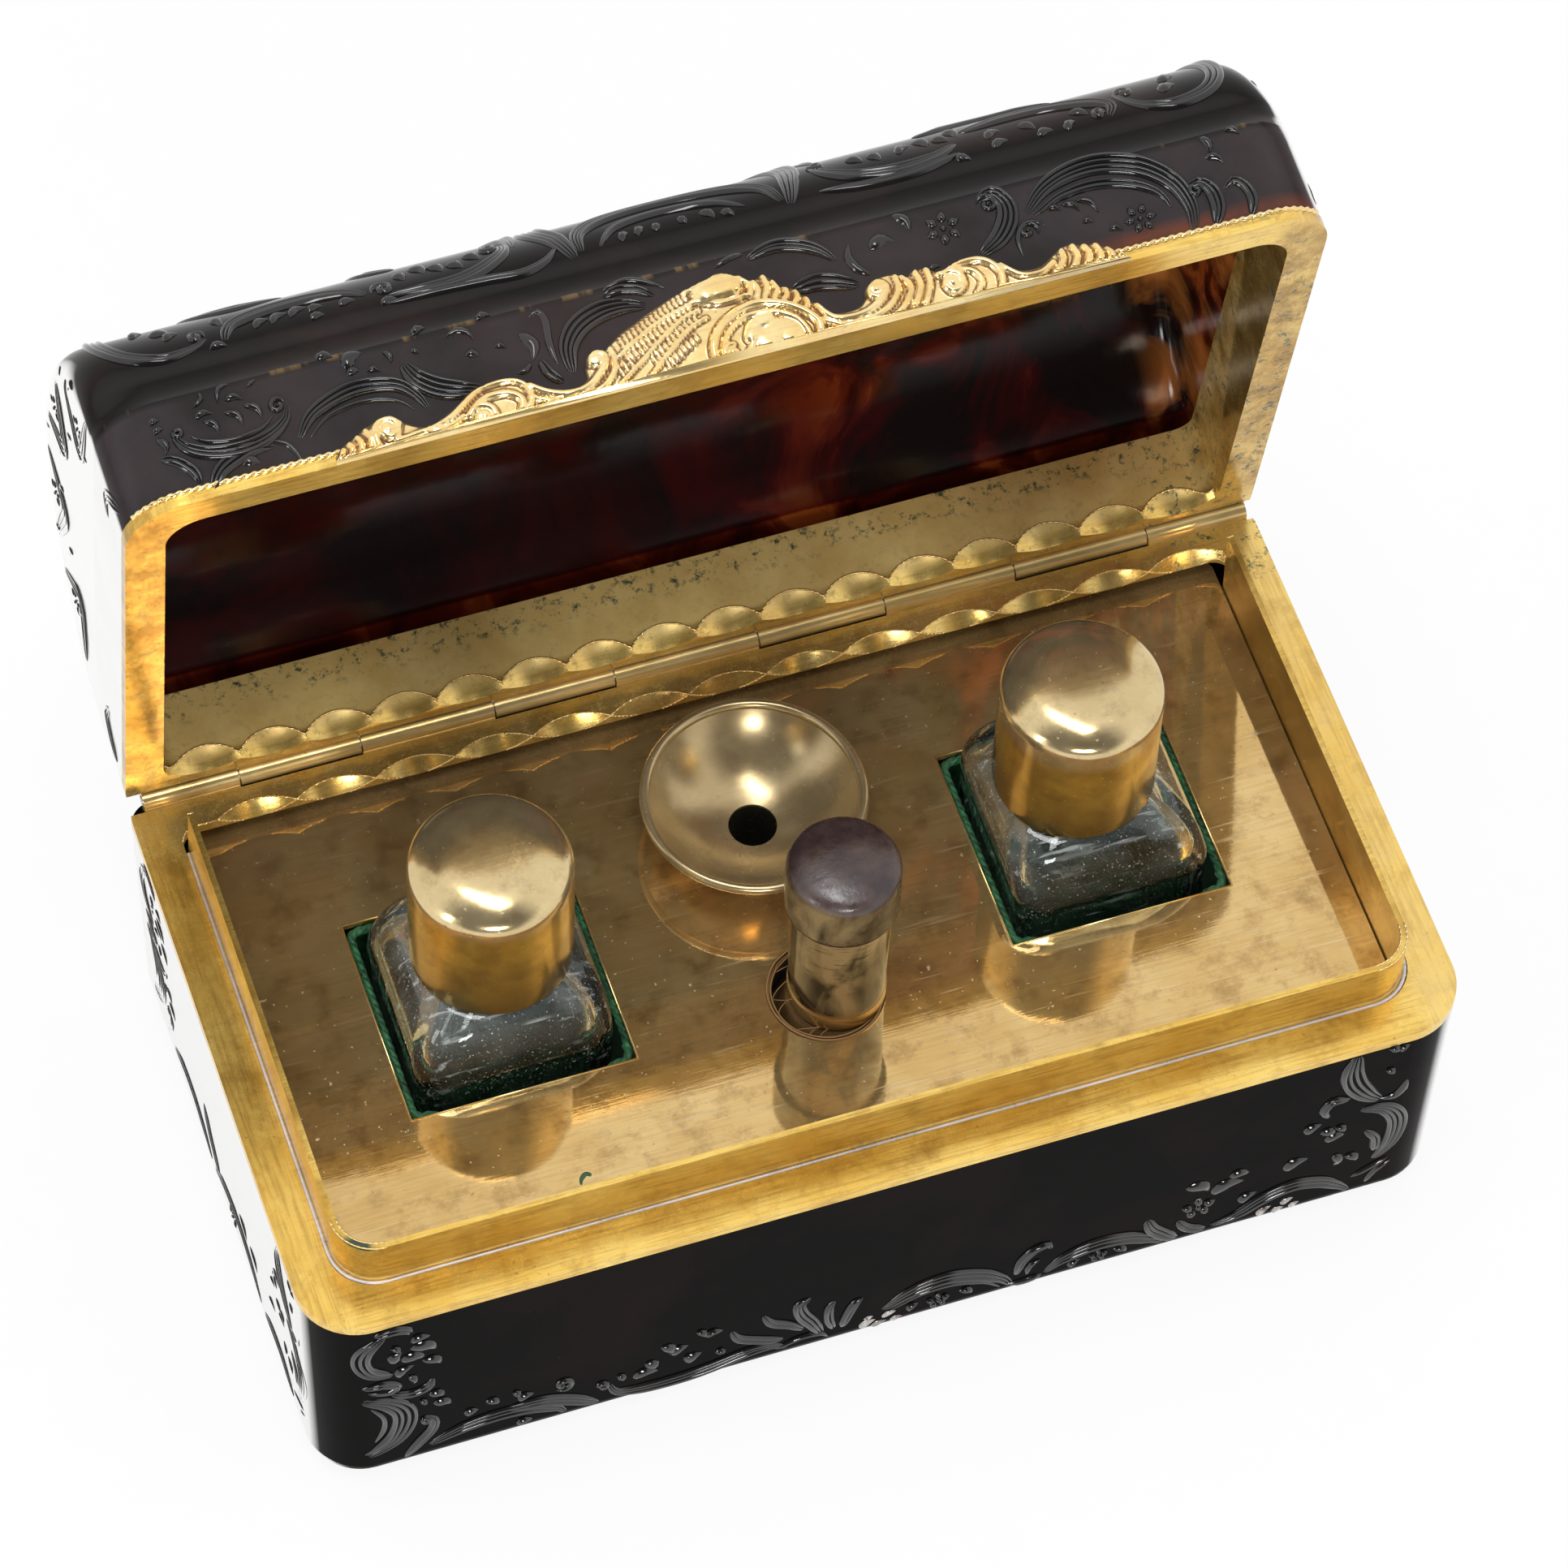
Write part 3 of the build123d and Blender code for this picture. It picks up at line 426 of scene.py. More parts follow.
def curve(points, step=0.4):
    """A smooth line through the points."""
    line = []
    last = len(points) - 1
    for i in range(last):
        p0, p1 = points[max(i - 1, 0)], points[i]
        p2, p3 = points[i + 1], points[min(i + 2, last)]
        count = max(2, int(math.dist(p1, p2) / step))
        for k in range(count):
            t = k / count
            line.append(tuple(
                0.5 * (2 * b + (c - a) * t + (2 * a - 5 * b + 4 * c - d) * t * t + (3 * b - a - 3 * c + d) * t ** 3)
                for a, b, c, d in zip(p0, p1, p2, p3)
            ))
    line.append(tuple(points[last]))
    return line


def spiral(u, v, size, start, turns, shrink, steps):
    """A line that winds in towards its middle."""
    count = int(steps * abs(turns))
    line = []
    for k in range(count + 1):
        a, r = start + 2 * math.pi * turns * k / count, size * (1 - shrink * k / count)
        line.append((u + r * math.cos(a), v + r * math.sin(a)))
    return line


def runs(path):
    """How far along a path each of its points is."""
    return [0.0, *itertools.accumulate(math.dist(a, b) for a, b in zip(path[:-1], path[1:]))]


def lattice(first, rings, around, loop=False):
    """Faces between rings of points that follow each other from the first point on."""
    faces = []
    for i in range(rings if loop else rings - 1):
        a, b = first + around * i, first + around * ((i + 1) % rings)
        faces += [(a + k, b + k, b + (k + 1) % around, a + (k + 1) % around) for k in range(around)]
    return faces


class Shape:
    """Points and faces gathered for one piece."""

    def __init__(self):
        self.verts, self.faces = [], []

    def tube(self, path, radius, around, aside=(0, 0, 1), loop=False, ends=True, moved=None):
        """A tube round a path. Its radius is a number, or follows from the point's place in the path and the turn."""
        first, count = len(self.verts), len(path)
        path = [Vector(p) for p in path]
        for i, p in enumerate(path):
            before, after = (i - 1, (i + 1) % count) if loop else (max(i - 1, 0), min(i + 1, count - 1))
            ahead = (path[after] - path[before]).normalized()
            out = ahead.cross(Vector(aside)).normalized()
            rise = out.cross(ahead)
            p = moved(p, out) if moved else p
            for k in range(around):
                a = 2 * math.pi * k / around
                r = radius(i, a) if callable(radius) else radius
                self.verts.append(p + (out * math.cos(a) + rise * math.sin(a)) * r)
        self.faces += lattice(first, count, around, loop)
        if ends and not loop:
            last = first + around * (count - 1)
            self.faces += [tuple(range(first, first + around)), tuple(reversed(range(last, last + around)))]

    def make(self, name, look, body, slot="tortoiseshell"):
        return piece(name, self.verts, self.faces, look, body)


open_cos, open_sin = math.cos(math.radians(LID_TURN)), math.sin(math.radians(LID_TURN))


def opened_way(x, y, z):
    return Vector((x, y * open_cos - z * open_sin, y * open_sin + z * open_cos))


def opened(x, y, z):
    """A point of the closed lid, where it stands with the lid open."""
    return opened_way(x, y - HINGE_Y, z - HINGE_Z) + Vector((0, HINGE_Y, HINGE_Z))


# Faces that carry carving: each gives a point and the way out for a place on it
PANEL_RISE = 9.4  # the fold's height above the lid's foot


def round_corner(u, half, radius):
    """A place along a face carried round its end: along, inward, and the way out there."""
    over = abs(u) - (half - radius)
    if over <= 0:
        return u, 0.0, 0.0, 1.0
    turn = min(over / radius, 1.5)
    along = half - radius + radius * math.sin(turn)
    return math.copysign(along, u), radius * (1 - math.cos(turn)), math.copysign(math.sin(turn), u), math.cos(turn)


def edge_radius(rear, z, radii=(FRONT_EDGE, REAR_EDGE, CROWN_EDGE)):
    """Radius of the lid's upright edges low down, and of its gable edges above."""
    up = min(max((z - 37.5) / (CROWN - 37.5), 0.0), 1.0)
    return radii[1 if rear else 0] * (1 - up) + radii[2] * up


def dome_turn(rise):
    """Turn round the dome's ellipse at a height above the fold."""
    return math.asin(min(max(rise / DOME_RISE, 0.0), 1.0))


def gable_half(rise):
    """Half depth of the lid's end above the fold, where the cove has run out into the corner."""
    return DOME_HALF + 1.8 * (1 - ease(dome_turn(rise), 0, 0.85))


def lid_panel(out):
    def at(u, v):
        x, inward, way_x, way_y = round_corner(u, HALF_LENGTH, edge_radius(out > 0, 30))
        lean = 0.2 * (v - 1.2) / 8.2
        return opened(x, out * (HALF_DEPTH - lean - inward), LID_FOOT + v), opened_way(way_x, out * way_y, 0)
    return at


def lid_dome(out):
    def at(u, v):
        t = math.radians(10 + 4 * v)
        y, z = DOME_HALF * math.cos(t), FOLD + DOME_RISE * math.sin(t)
        way = Vector((math.cos(t) / DOME_HALF, math.sin(t) / DOME_RISE)).normalized()
        x, inward, way_x, level = round_corner(u, HALF_LENGTH, edge_radius(out > 0, z))
        spot = opened(x, out * (y - way.x * inward), z - way.y * inward)
        return spot, opened_way(way_x, out * way.x * level, way.y * level)
    return at


def lid_end(out):
    def at(u, v):
        rise = max(v - PANEL_RISE, 0.0)
        if rise:
            reach = math.hypot(u / gable_half(rise), rise / DOME_RISE)
            clear = (1 - reach) * math.hypot(u, rise) / reach
            way = Vector((u / DOME_HALF**2, rise / DOME_RISE**2)).normalized()
        else:
            clear, way = HALF_DEPTH - abs(u), Vector((math.copysign(1, u), 0))
        radius = edge_radius(u > 0, LID_FOOT + v)
        over = min(max(radius - clear, 0.0) / radius, 0.97)
        level = math.sqrt(1 - over**2)
        spot = opened(out * (HALF_LENGTH - radius * (1 - level)), u, LID_FOOT + v)
        return spot, opened_way(out * level, way.x * over, way.y * over)
    return at


def body_side(out, end=False):
    """A long side of the body, or one of its ends, with its corners and foot rounded."""
    along, across = (HALF_DEPTH, HALF_LENGTH) if end else (HALF_LENGTH, HALF_DEPTH)

    def at(u, v):
        draft = (BODY_TOP - v) * BODY_DRAFT
        rear = u > 0 if end else out > 0
        x, inward, way_x, way_out = round_corner(u, along - draft, REAR_EDGE if rear else FRONT_EDGE)
        over = max(FOOT_RADIUS - v, 0.0) / FOOT_RADIUS
        z = FOOT_RADIUS - FOOT_RADIUS * math.sin(over) if over else v
        inside, level = FOOT_RADIUS * (1 - math.cos(over)), math.cos(over)
        spot = Vector((x - way_x * inside, out * (across - draft - inward - way_out * inside), z))
        way = Vector((way_x * level, out * way_out * level, -math.sin(over)))
        return (spot.yxz, way.yxz) if end else (spot, way)
    return at


class Carving(Shape):
    """Raised strokes on one face. Points are given as flat numbers: along, up, along, up.

    flip mirrors the strokes, turned reverses their faces, and fat and tall scale their width and height.
    """

    def __init__(self, at, flip=False, turned=False, fat=1.1, tall=1.45):
        super().__init__()
        self.at, self.sign, self.shift = at, -1 if flip else 1, 0.0
        self.turned, self.fat, self.tall = turned, fat, tall

    @staticmethod
    def beside(line, i, off):
        """A place beside a line, square to it at one of its points."""
        a, b = line[max(i - 1, 0)], line[min(i + 1, len(line) - 1)]
        du, dv = b[0] - a[0], b[1] - a[1]
        size = math.hypot(du, dv) or 1
        return line[i][0] - dv / size * off, line[i][1] + du / size * off

    def ridge(self, line, width, height, taper=0.3, fat=0.0):
        width, height = width * self.fat, height * self.tall
        last = len(line) - 1
        first = len(self.verts)
        for i in range(last + 1):
            t = i / last
            if fat:
                swell = max(0.03, math.sin(math.pi * t**fat))
            else:
                swell = max(0.03, min(1, t / taper, (1 - t) / taper)) ** 0.6
            for across, lift in ((-1, -0.08), (-0.62, height * 0.7 * swell), (0, height * swell),
                                 (0.62, height * 0.7 * swell), (1, -0.08)):
                u, v = self.beside(line, i, across * width * swell)
                p, way = self.at(self.sign * u + self.shift, v)
                self.verts.append(p + way * lift)
        for i in range(last):
            for a in range(first + 5 * i, first + 5 * i + 4):
                quad = (a, a + 5, a + 6, a + 1)
                self.faces.append(quad[::-1] if self.turned else quad)

    def line(self, *numbers, width=0.26, height=0.2):
        self.ridge(curve(pairs(numbers)), width, height)

    def ribs(self, count, spread, *numbers):
        """Several lines side by side that draw together at both ends."""
        middle = curve(pairs(numbers))
        last = len(middle) - 1
        for k in range(count):
            off = (k - (count - 1) / 2) * spread
            line = [self.beside(middle, i, off * (0.25 + 0.75 * max(0.0, math.sin(math.pi * i / last)) ** 0.7))
                    for i in range(last + 1)]
            strong = 1.25 if k == 0 else 0.9
            self.ridge(line, 0.24 * strong, 0.2 * strong, 0.22)

    def leaf(self, u, v, u2, v2, width=0.55, height=0.26, bend=0.25):
        mid = ((u + u2) / 2 - (v2 - v) * bend, (v + v2) / 2 + (u2 - u) * bend)
        self.ridge(curve([(u, v), mid, (u2, v2)], 0.25), width, height, fat=0.8)

    def leaves(self, *numbers, width=None, height=0.26):
        """Leaves of one width, or with a width after each one's four numbers."""
        size = 4 if width else 5
        for k in range(0, len(numbers), size):
            self.leaf(*numbers[k:k + 4], width or numbers[k + 4], height)

    def bead(self, u, v, size):
        self.ridge([(u + size * part, v) for part in (-1, -0.5, 0, 0.5, 1)], size, 0.25, fat=1.0)

    def flower(self, u, v, size, petals=6, turn=0.3):
        for k in range(petals):
            a = turn + 2 * math.pi * k / petals
            c, s = size * math.cos(a), size * math.sin(a)
            self.leaf(u + c * 0.32, v + s * 0.32, u + c, v + s, width=size * 0.26, bend=0.05)
        self.bead(u, v, size * 0.2)

    def curl(self, u, v, size, start, turns=1.25):
        """A volute that winds in to its eye."""
        self.ridge(spiral(u, v, size, start, turns, 0.82, 18), 0.24, 0.22, 0.12)
        self.bead(u, v, size * 0.22)


def carve_panel(c):
    c.ribs(3, 0.45, -44, 6.5, -44.2, 5.7, -43.5, 4.7, -42.2, 4, -40.4, 3.65, -38.4, 3.7, -36.7, 4.3, -35.5, 5.3,
        -35.2, 6.3)
    c.curl(-35.9, 6.4, 0.7, 0.2)
    c.curl(-44, 6.3, 0.45, 2.6)
    c.line(-43.3, 5.9, -42, 4.9, -39.8, 4.5, -37.5, 4.9, -36.4, 5.8)
    c.leaves(-41.9, 6.7, -40.9, 5.2, -40.1, 7, -38.9, 5.4, -38.5, 7.2, -37.3, 5.6, -42.4, 7, -40.8, 7.1,
        -39.8, 7.9, -38.2, 7.6, -45.9, 7.5, -45, 7.7, -45.8, 6.6, -44.9, 6.9, -45.8, 6.2, -45.3, 4.7, width=0.34)
    c.ribs(2, 0.5, -46, 4.5, -44.7, 3.9, -43.7, 2.7, -43.5, 1.5)
    c.ribs(3, 0.5, -42.7, 0.9, -41.7, 2.2, -40.2, 3, -38.6, 3.35, -37.2, 3.1)
    c.leaf(-40, 2.1, -38.5, 1.9, 0.55)
    c.line(-37.6, 3.7, -36.2, 3, -35.6, 1.9, -35.4, 0.9)
    c.line(-42.3, 8, -41.4, 8.6, -41.5, 9.2, width=0.2)
    c.line(-40.3, 7.9, -39.9, 9.1, -39, 9.3, width=0.2)
    c.line(-37.8, 8.6, -36.8, 9.2, width=0.2)
    c.ribs(3, 0.5, -35, 3.2, -33.6, 4.9, -31, 6, -28.6, 6.2, -26.4, 5.6, -25.2, 4.3, -24.7, 3)
    c.line(-34.2, 3, -32.4, 4.4, -29.4, 4.9, -26.9, 4.3, -25.7, 3.1)
    c.ribs(4, 0.5, -25.4, 7.3, -24.8, 5.8, -23.4, 4.5, -21.4, 3.7, -20, 3.4)
    c.leaves(-31.9, 9.4, -30.5, 9.3, 0.4, -29.8, 7.9, -28.2, 9.1, 0.6, -29.9, 7.4, -28.8, 7.6, 0.4,
        -26.7, 8.7, -26.3, 7.5, 0.3, -28.4, 7.3, -27.2, 7, 0.3, -24, 9.4, -22.8, 9.8, 0.35,
        -18.8, 9.3, -17.6, 9.5, 0.3, -20.6, 6.5, -19.4, 6.2, 0.4, -18.2, 6.6, -17.2, 6.3, 0.25,
        -16, 7.3, -15.6, 4.6, 0.55, -24.6, 8.1, -23.9, 7.7, 0.25)
    c.line(-21.6, 8.5, -20.6, 8.9, -19.8, 8.5, -19.5, 7.7, width=0.32)
    c.line(-15.8, 4.6, -16.3, 4, -17.2, 3.9)
    c.line(-14.7, 8.5, -13.9, 8.8, -13.6, 7.7, -13.9, 5.8, -13.8, 3.8, width=0.34)
    c.ribs(2, 0.5, -15, 4.6, -14.6, 3.2, -13.8, 2.2)
    c.ribs(4, 0.5, -12.9, 2.8, -12.6, 5, -11.3, 6.6, -9.3, 7.4, -7.2, 7.4, -5.6, 6.9)
    c.ribs(2, 0.5, -8.6, 8.5, -7.4, 8.9, -5.8, 8.5, -4.7, 7.6)
    c.line(-8.4, 9.2, -6.4, 9.5, -4.6, 8.7, -3.5, 7.9)
    c.line(0.6, 8.6, 2, 9.1, 3.2, 9.2)
    c.ribs(3, 0.4, 3.4, 8.7, 5.6, 9.2, 7.6, 8.8, 9.2, 7.8, 10.1, 6.6)
    c.ribs(3, 0.6, 6, 5, 8, 5.2, 9.8, 4.7, 11.2, 4)
    c.line(11.5, 7.7, 11.1, 6.6, 11.5, 5.4, 12.4, 4.6, width=0.42, height=0.26)
    c.leaves(13, 6.7, 15.2, 7, 0.6, 15.6, 9.2, 16.5, 7.3, 0.45)
    c.flower(19.2, 7, 1.6)
    c.curl(23.3, 8.1, 0.9, 2.9, -1.2)
    c.ribs(4, 0.45, 22.6, 8.6, 23.9, 9, 24.7, 7.8, 24.4, 6.3, 23.2, 4.9, 21.4, 3.9)
    c.ribs(4, 0.5, 26, 6.5, 28, 8.2, 30.6, 9.1, 33.4, 9.1, 36.3, 8, 38.3, 5.9, 38.9, 3.4, 38.4, 1.3)
    c.ribs(2, 0.5, 26.6, 6.1, 29, 7.2, 32, 7.5, 34.8, 6.8, 36.8, 5.4, 37.4, 3.8)
    c.leaves(27.7, 6.3, 28.8, 5.9, 28.9, 6.4, 30.2, 5.4, 30.1, 6.5, 31.6, 4.9, 16.8, 3.5, 18, 3.8, 31.8, 3.2, 33, 2.8,
        30, 4.4, 31, 4.2, width=0.3)
    c.curl(25.6, 4.9, 0.9, -0.6, 1.1)
    c.line(24.5, 2.8, 24.6, 4.4, 25.4, 5.5, 26.6, 5.5, 27.2, 4.7)
    c.flower(34.6, 3.5, 1.4, turn=0)
    c.ribs(3, 0.45, 39.1, 5.1, 40.2, 5.4, 41, 4.4, 41, 2.8, 40.3, 1.3)
    c.curl(39.7, 4.7, 0.55, 1.2)
    c.ribs(2, 0.5, 42, 4.2, 42.9, 4.8, 43.7, 4.1, 43.9, 2.7, 43.3, 1.3)
    c.leaves(41.6, 9.2, 41.9, 7.6, 0.4, 41.4, 7.3, 42.8, 6.4, 0.4, 43.7, 9.2, 44.9, 8.6, 0.3)


def carve_dome(c):
    c.ribs(3, 0.5, -43, 17, -45.6, 15, -46.6, 11, -46.8, 7, -45.6, 4, -43, 2.5, -40.3, 2.8, -39, 3.7)
    c.curl(-39.6, 4.2, 0.7, -0.4)
    c.leaves(-42.8, 6.8, -41.2, 6, 0.55, -41.9, 5, -40.6, 5.8, 0.4, -44, 7.6, -42.9, 8.6, 0.4)
    c.ribs(3, 0.6, -37.6, 2.8, -36.6, 4.8, -33.6, 6, -30, 6.2, -27, 5.4, -25.6, 4.2)
    c.leaves(-35, 3.4, -33.6, 4.2, -33.6, 3.4, -32, 4.4, -32, 3.7, -30.4, 4.6, -30.4, 3.8, -29.2, 4.2,
        -30.6, 2.6, -29.4, 2.9, -28, 3.5, -26.6, 3.8, -39, 2.2, -37.6, 2, -24.9, 2.2, -23.5, 2.5,
        -37.9, 6.6, -37.3, 5.2, width=0.36)
    c.curl(-24.2, 4.4, 0.9, 3.4, -1.3)
    c.ribs(3, 0.5, -24, 3.2, -21, 2.9, -18, 3, -15.6, 4, -13.9, 5.6, -13.6, 7.2, -14.4, 8)
    c.curl(-14.6, 7.1, 0.75, 1.3)
    c.leaves(-21.4, 7, -20.4, 5.2, -20.1, 6.2, -19, 4.8, -18.6, 5.6, -17.4, 4.6, -17, 6.6, -15.8, 5.4,
        -22.9, 6.3, -22.2, 5, width=0.42)
    c.ribs(2, 0.45, -24.4, 2.2, -20.6, 2.3, -16.6, 2.1, -13.4, 1.8, -11.2, 2.6, -9.8, 4.2)
    c.ribs(4, 0.55, -9, 2, -9.6, 5, -10.6, 8.5, -10, 12, -7, 15)
    c.ribs(3, 0.6, -12.9, 6.2, -12.6, 9.5, -13.6, 13, -17, 16.5, -22, 17.5)
    c.ribs(3, 0.6, -22, 9, -24.4, 11, -24, 14.5, -20, 17)
    c.ribs(4, 0.5, -8.3, 2.6, -7.8, 5.2, -5.6, 7.2, -2, 8.3, 2, 8.1, 5.4, 7, 7.7, 5.2, 8.5, 2.6)
    c.ribs(2, 0.4, -6.7, 2.6, -5, 4.7, -2, 5.6, 1.6, 5.4, 4, 4.5, 5.6, 3.1)
    c.leaves(-4.8, 2.6, -4, 3.6, -3.4, 2.8, -2.6, 3.8, -1.9, 2.8, -1.3, 3.6, 1.9, 3.7, 2.9, 2.6, 3.4, 3, 4.4, 2.2,
        0, 3.6, 0.6, 2.8, width=0.4)
    c.ribs(4, 0.5, 9, 1.9, 9.8, 4.4, 10.6, 8, 9.8, 11.6, 7, 15)
    c.ribs(3, 0.5, 12.4, 7.4, 13, 5.2, 15.2, 3.5, 18.4, 2.9, 21.6, 3.2, 23.8, 4.4)
    c.curl(12.9, 7, 0.7, 2.4)
    c.ribs(2, 0.45, 11.6, 2.5, 15.8, 1.9, 20, 2, 23.7, 2.9)
    c.leaves(15.2, 6.4, 16.4, 5.4, 16.9, 6.2, 17.7, 4.9, 19.4, 5.2, 20.7, 6.4, 21, 6.8, 21.8, 5.2, 22.4, 6, 23.6, 5.2,
        23.8, 7.4, 24.4, 5.6, 26.4, 3.9, 27.8, 4.8, 26.4, 2.4, 27.8, 3, 29.2, 4.6, 30.4, 3.6, 30.2, 2.4, 31.6, 2.8,
        32.7, 2.3, 33.7, 3.3, 33.6, 4.6, 35, 3.7, 23, 2.2, 24.2, 1.6, width=0.4)
    c.ribs(3, 0.6, 25, 6.4, 28.4, 7.2, 32, 7.2, 35.4, 6, 37.1, 4.4, 36.4, 2.8)
    c.curl(35.7, 3.4, 0.6, 0)
    c.ribs(3, 0.6, 13.2, 8.6, 12.8, 12, 15, 15.5, 20, 17.5, 25, 16.6)
    c.ribs(3, 0.6, 22, 9, 26, 11, 30, 11.4, 34, 9.6)
    c.ribs(3, 0.5, 38.1, 6.2, 38.5, 4.3, 39.8, 2.9, 42.2, 2.3, 45, 3.2, 46.6, 5.8, 46.8, 10, 45.8, 14.6, 43, 17)
    c.curl(38.9, 6, 0.7, 3.3, -1.2)
    c.leaves(41.6, 4.3, 43, 5.2, 0.55, 42.4, 6.4, 43.8, 7.4, 0.55)
    c.flower(-33.5, 13, 2.2)
    c.flower(35, 14, 2.2)
    c.flower(0, 14, 3, 8)
    c.ribs(3, 0.6, -31, 10.4, -35.6, 9.6, -38.6, 12, -37.4, 15.6, -33, 17.4)


def carve_left_corner(c):
    c.ribs(3, 0.6, -43.3, 17.2, -45.3, 18.6, -46, 20.6, -45.5, 22.7, -44, 24.2)
    c.ribs(2, 0.5, -44.8, 24.8, -43.2, 25, -42, 24.5, -41.7, 23.6)
    c.leaves(-43, 19.3, -42.5, 21, 0.6, -41.8, 20.9, -39.6, 19.8, 0.7, -42.6, 19.2, -40.5, 19, 0.6,
        -41.8, 22.1, -40.1, 22.4, 0.4, -43.5, 21.9, -42.7, 20.9, 0.3, -42.9, 16.6, -41.5, 18, 0.5,
        -40.8, 18.3, -39.2, 17, 0.5, -42, 16.2, -41.7, 14.7, 0.35, -40.3, 11.9, -38.9, 11.2, 0.45,
        -39.9, 10.1, -38.3, 9.3, 0.5, -41.1, 11.3, -40.6, 10.4, 0.3)
    c.ribs(2, 0.45, -45.9, 15.9, -44.2, 16.1, -42.9, 15.2, -43.6, 14.5, -45.4, 15)
    c.ribs(2, 0.45, -43.5, 13.9, -41.8, 13.2, -40.4, 13.6, -39.9, 14.7)
    c.ribs(4, 0.6, -45.9, 13.6, -43.8, 12.5, -42.5, 10.6, -42.3, 8.4, -43, 6.1, -44.6, 4.4, -45.7, 3.6)
    c.line(-45.2, 12.1, -44.2, 10.3, -44.1, 8.2, -44.9, 6)
    c.ribs(2, 0.5, -40.6, 8.3, -39.8, 7.5, -39.9, 5.8, -41.1, 3.8, -42.3, 1.9)
    c.curl(-40.4, 7.6, 0.5, 1.4)


def carve_right_corner(c):
    c.ribs(4, 0.5, 41, 15.9, 43.2, 15.1, 44.5, 13, 44.7, 10.4, 44.1, 8, 43.1, 6.3)
    c.ribs(2, 0.5, 41.8, 11.8, 42.9, 10.2, 43, 7.8)
    c.line(41.3, 4, 43, 5, 44.5, 5.9)
    c.line(42.7, 2.4, 43.4, 4, 44.8, 5.3)
    c.ribs(4, 0.6, 39.8, 25.4, 39.6, 23, 40.1, 20.6, 41.4, 18.3, 42.6, 16.9)
    c.line(42.6, 16.9, 43.9, 16.8, 44.6, 17.8, 44.8, 19, width=0.4)
    c.ribs(2, 0.4, 38.2, 16, 37.5, 17.4, 38.2, 18.8, 39.8, 18.5)
    c.leaves(36.2, 14.2, 37.6, 15.2, 0.5, 37.6, 13.5, 39, 12.9, 0.5, 38.2, 11.8, 39.9, 12.3, 0.5,
        38.9, 13.8, 39.8, 12.8, 0.4, 34.9, 8.5, 36.9, 9.7, 0.6, 39.2, 8.9, 39.4, 7, 0.5, 40.3, 8.2, 41.4, 6.7, 0.45,
        42.5, 25.2, 43.5, 24.5, 0.4, 43.5, 24.5, 44.4, 25.1, 0.35, 42.6, 21.6, 43.4, 20.8, 0.35)


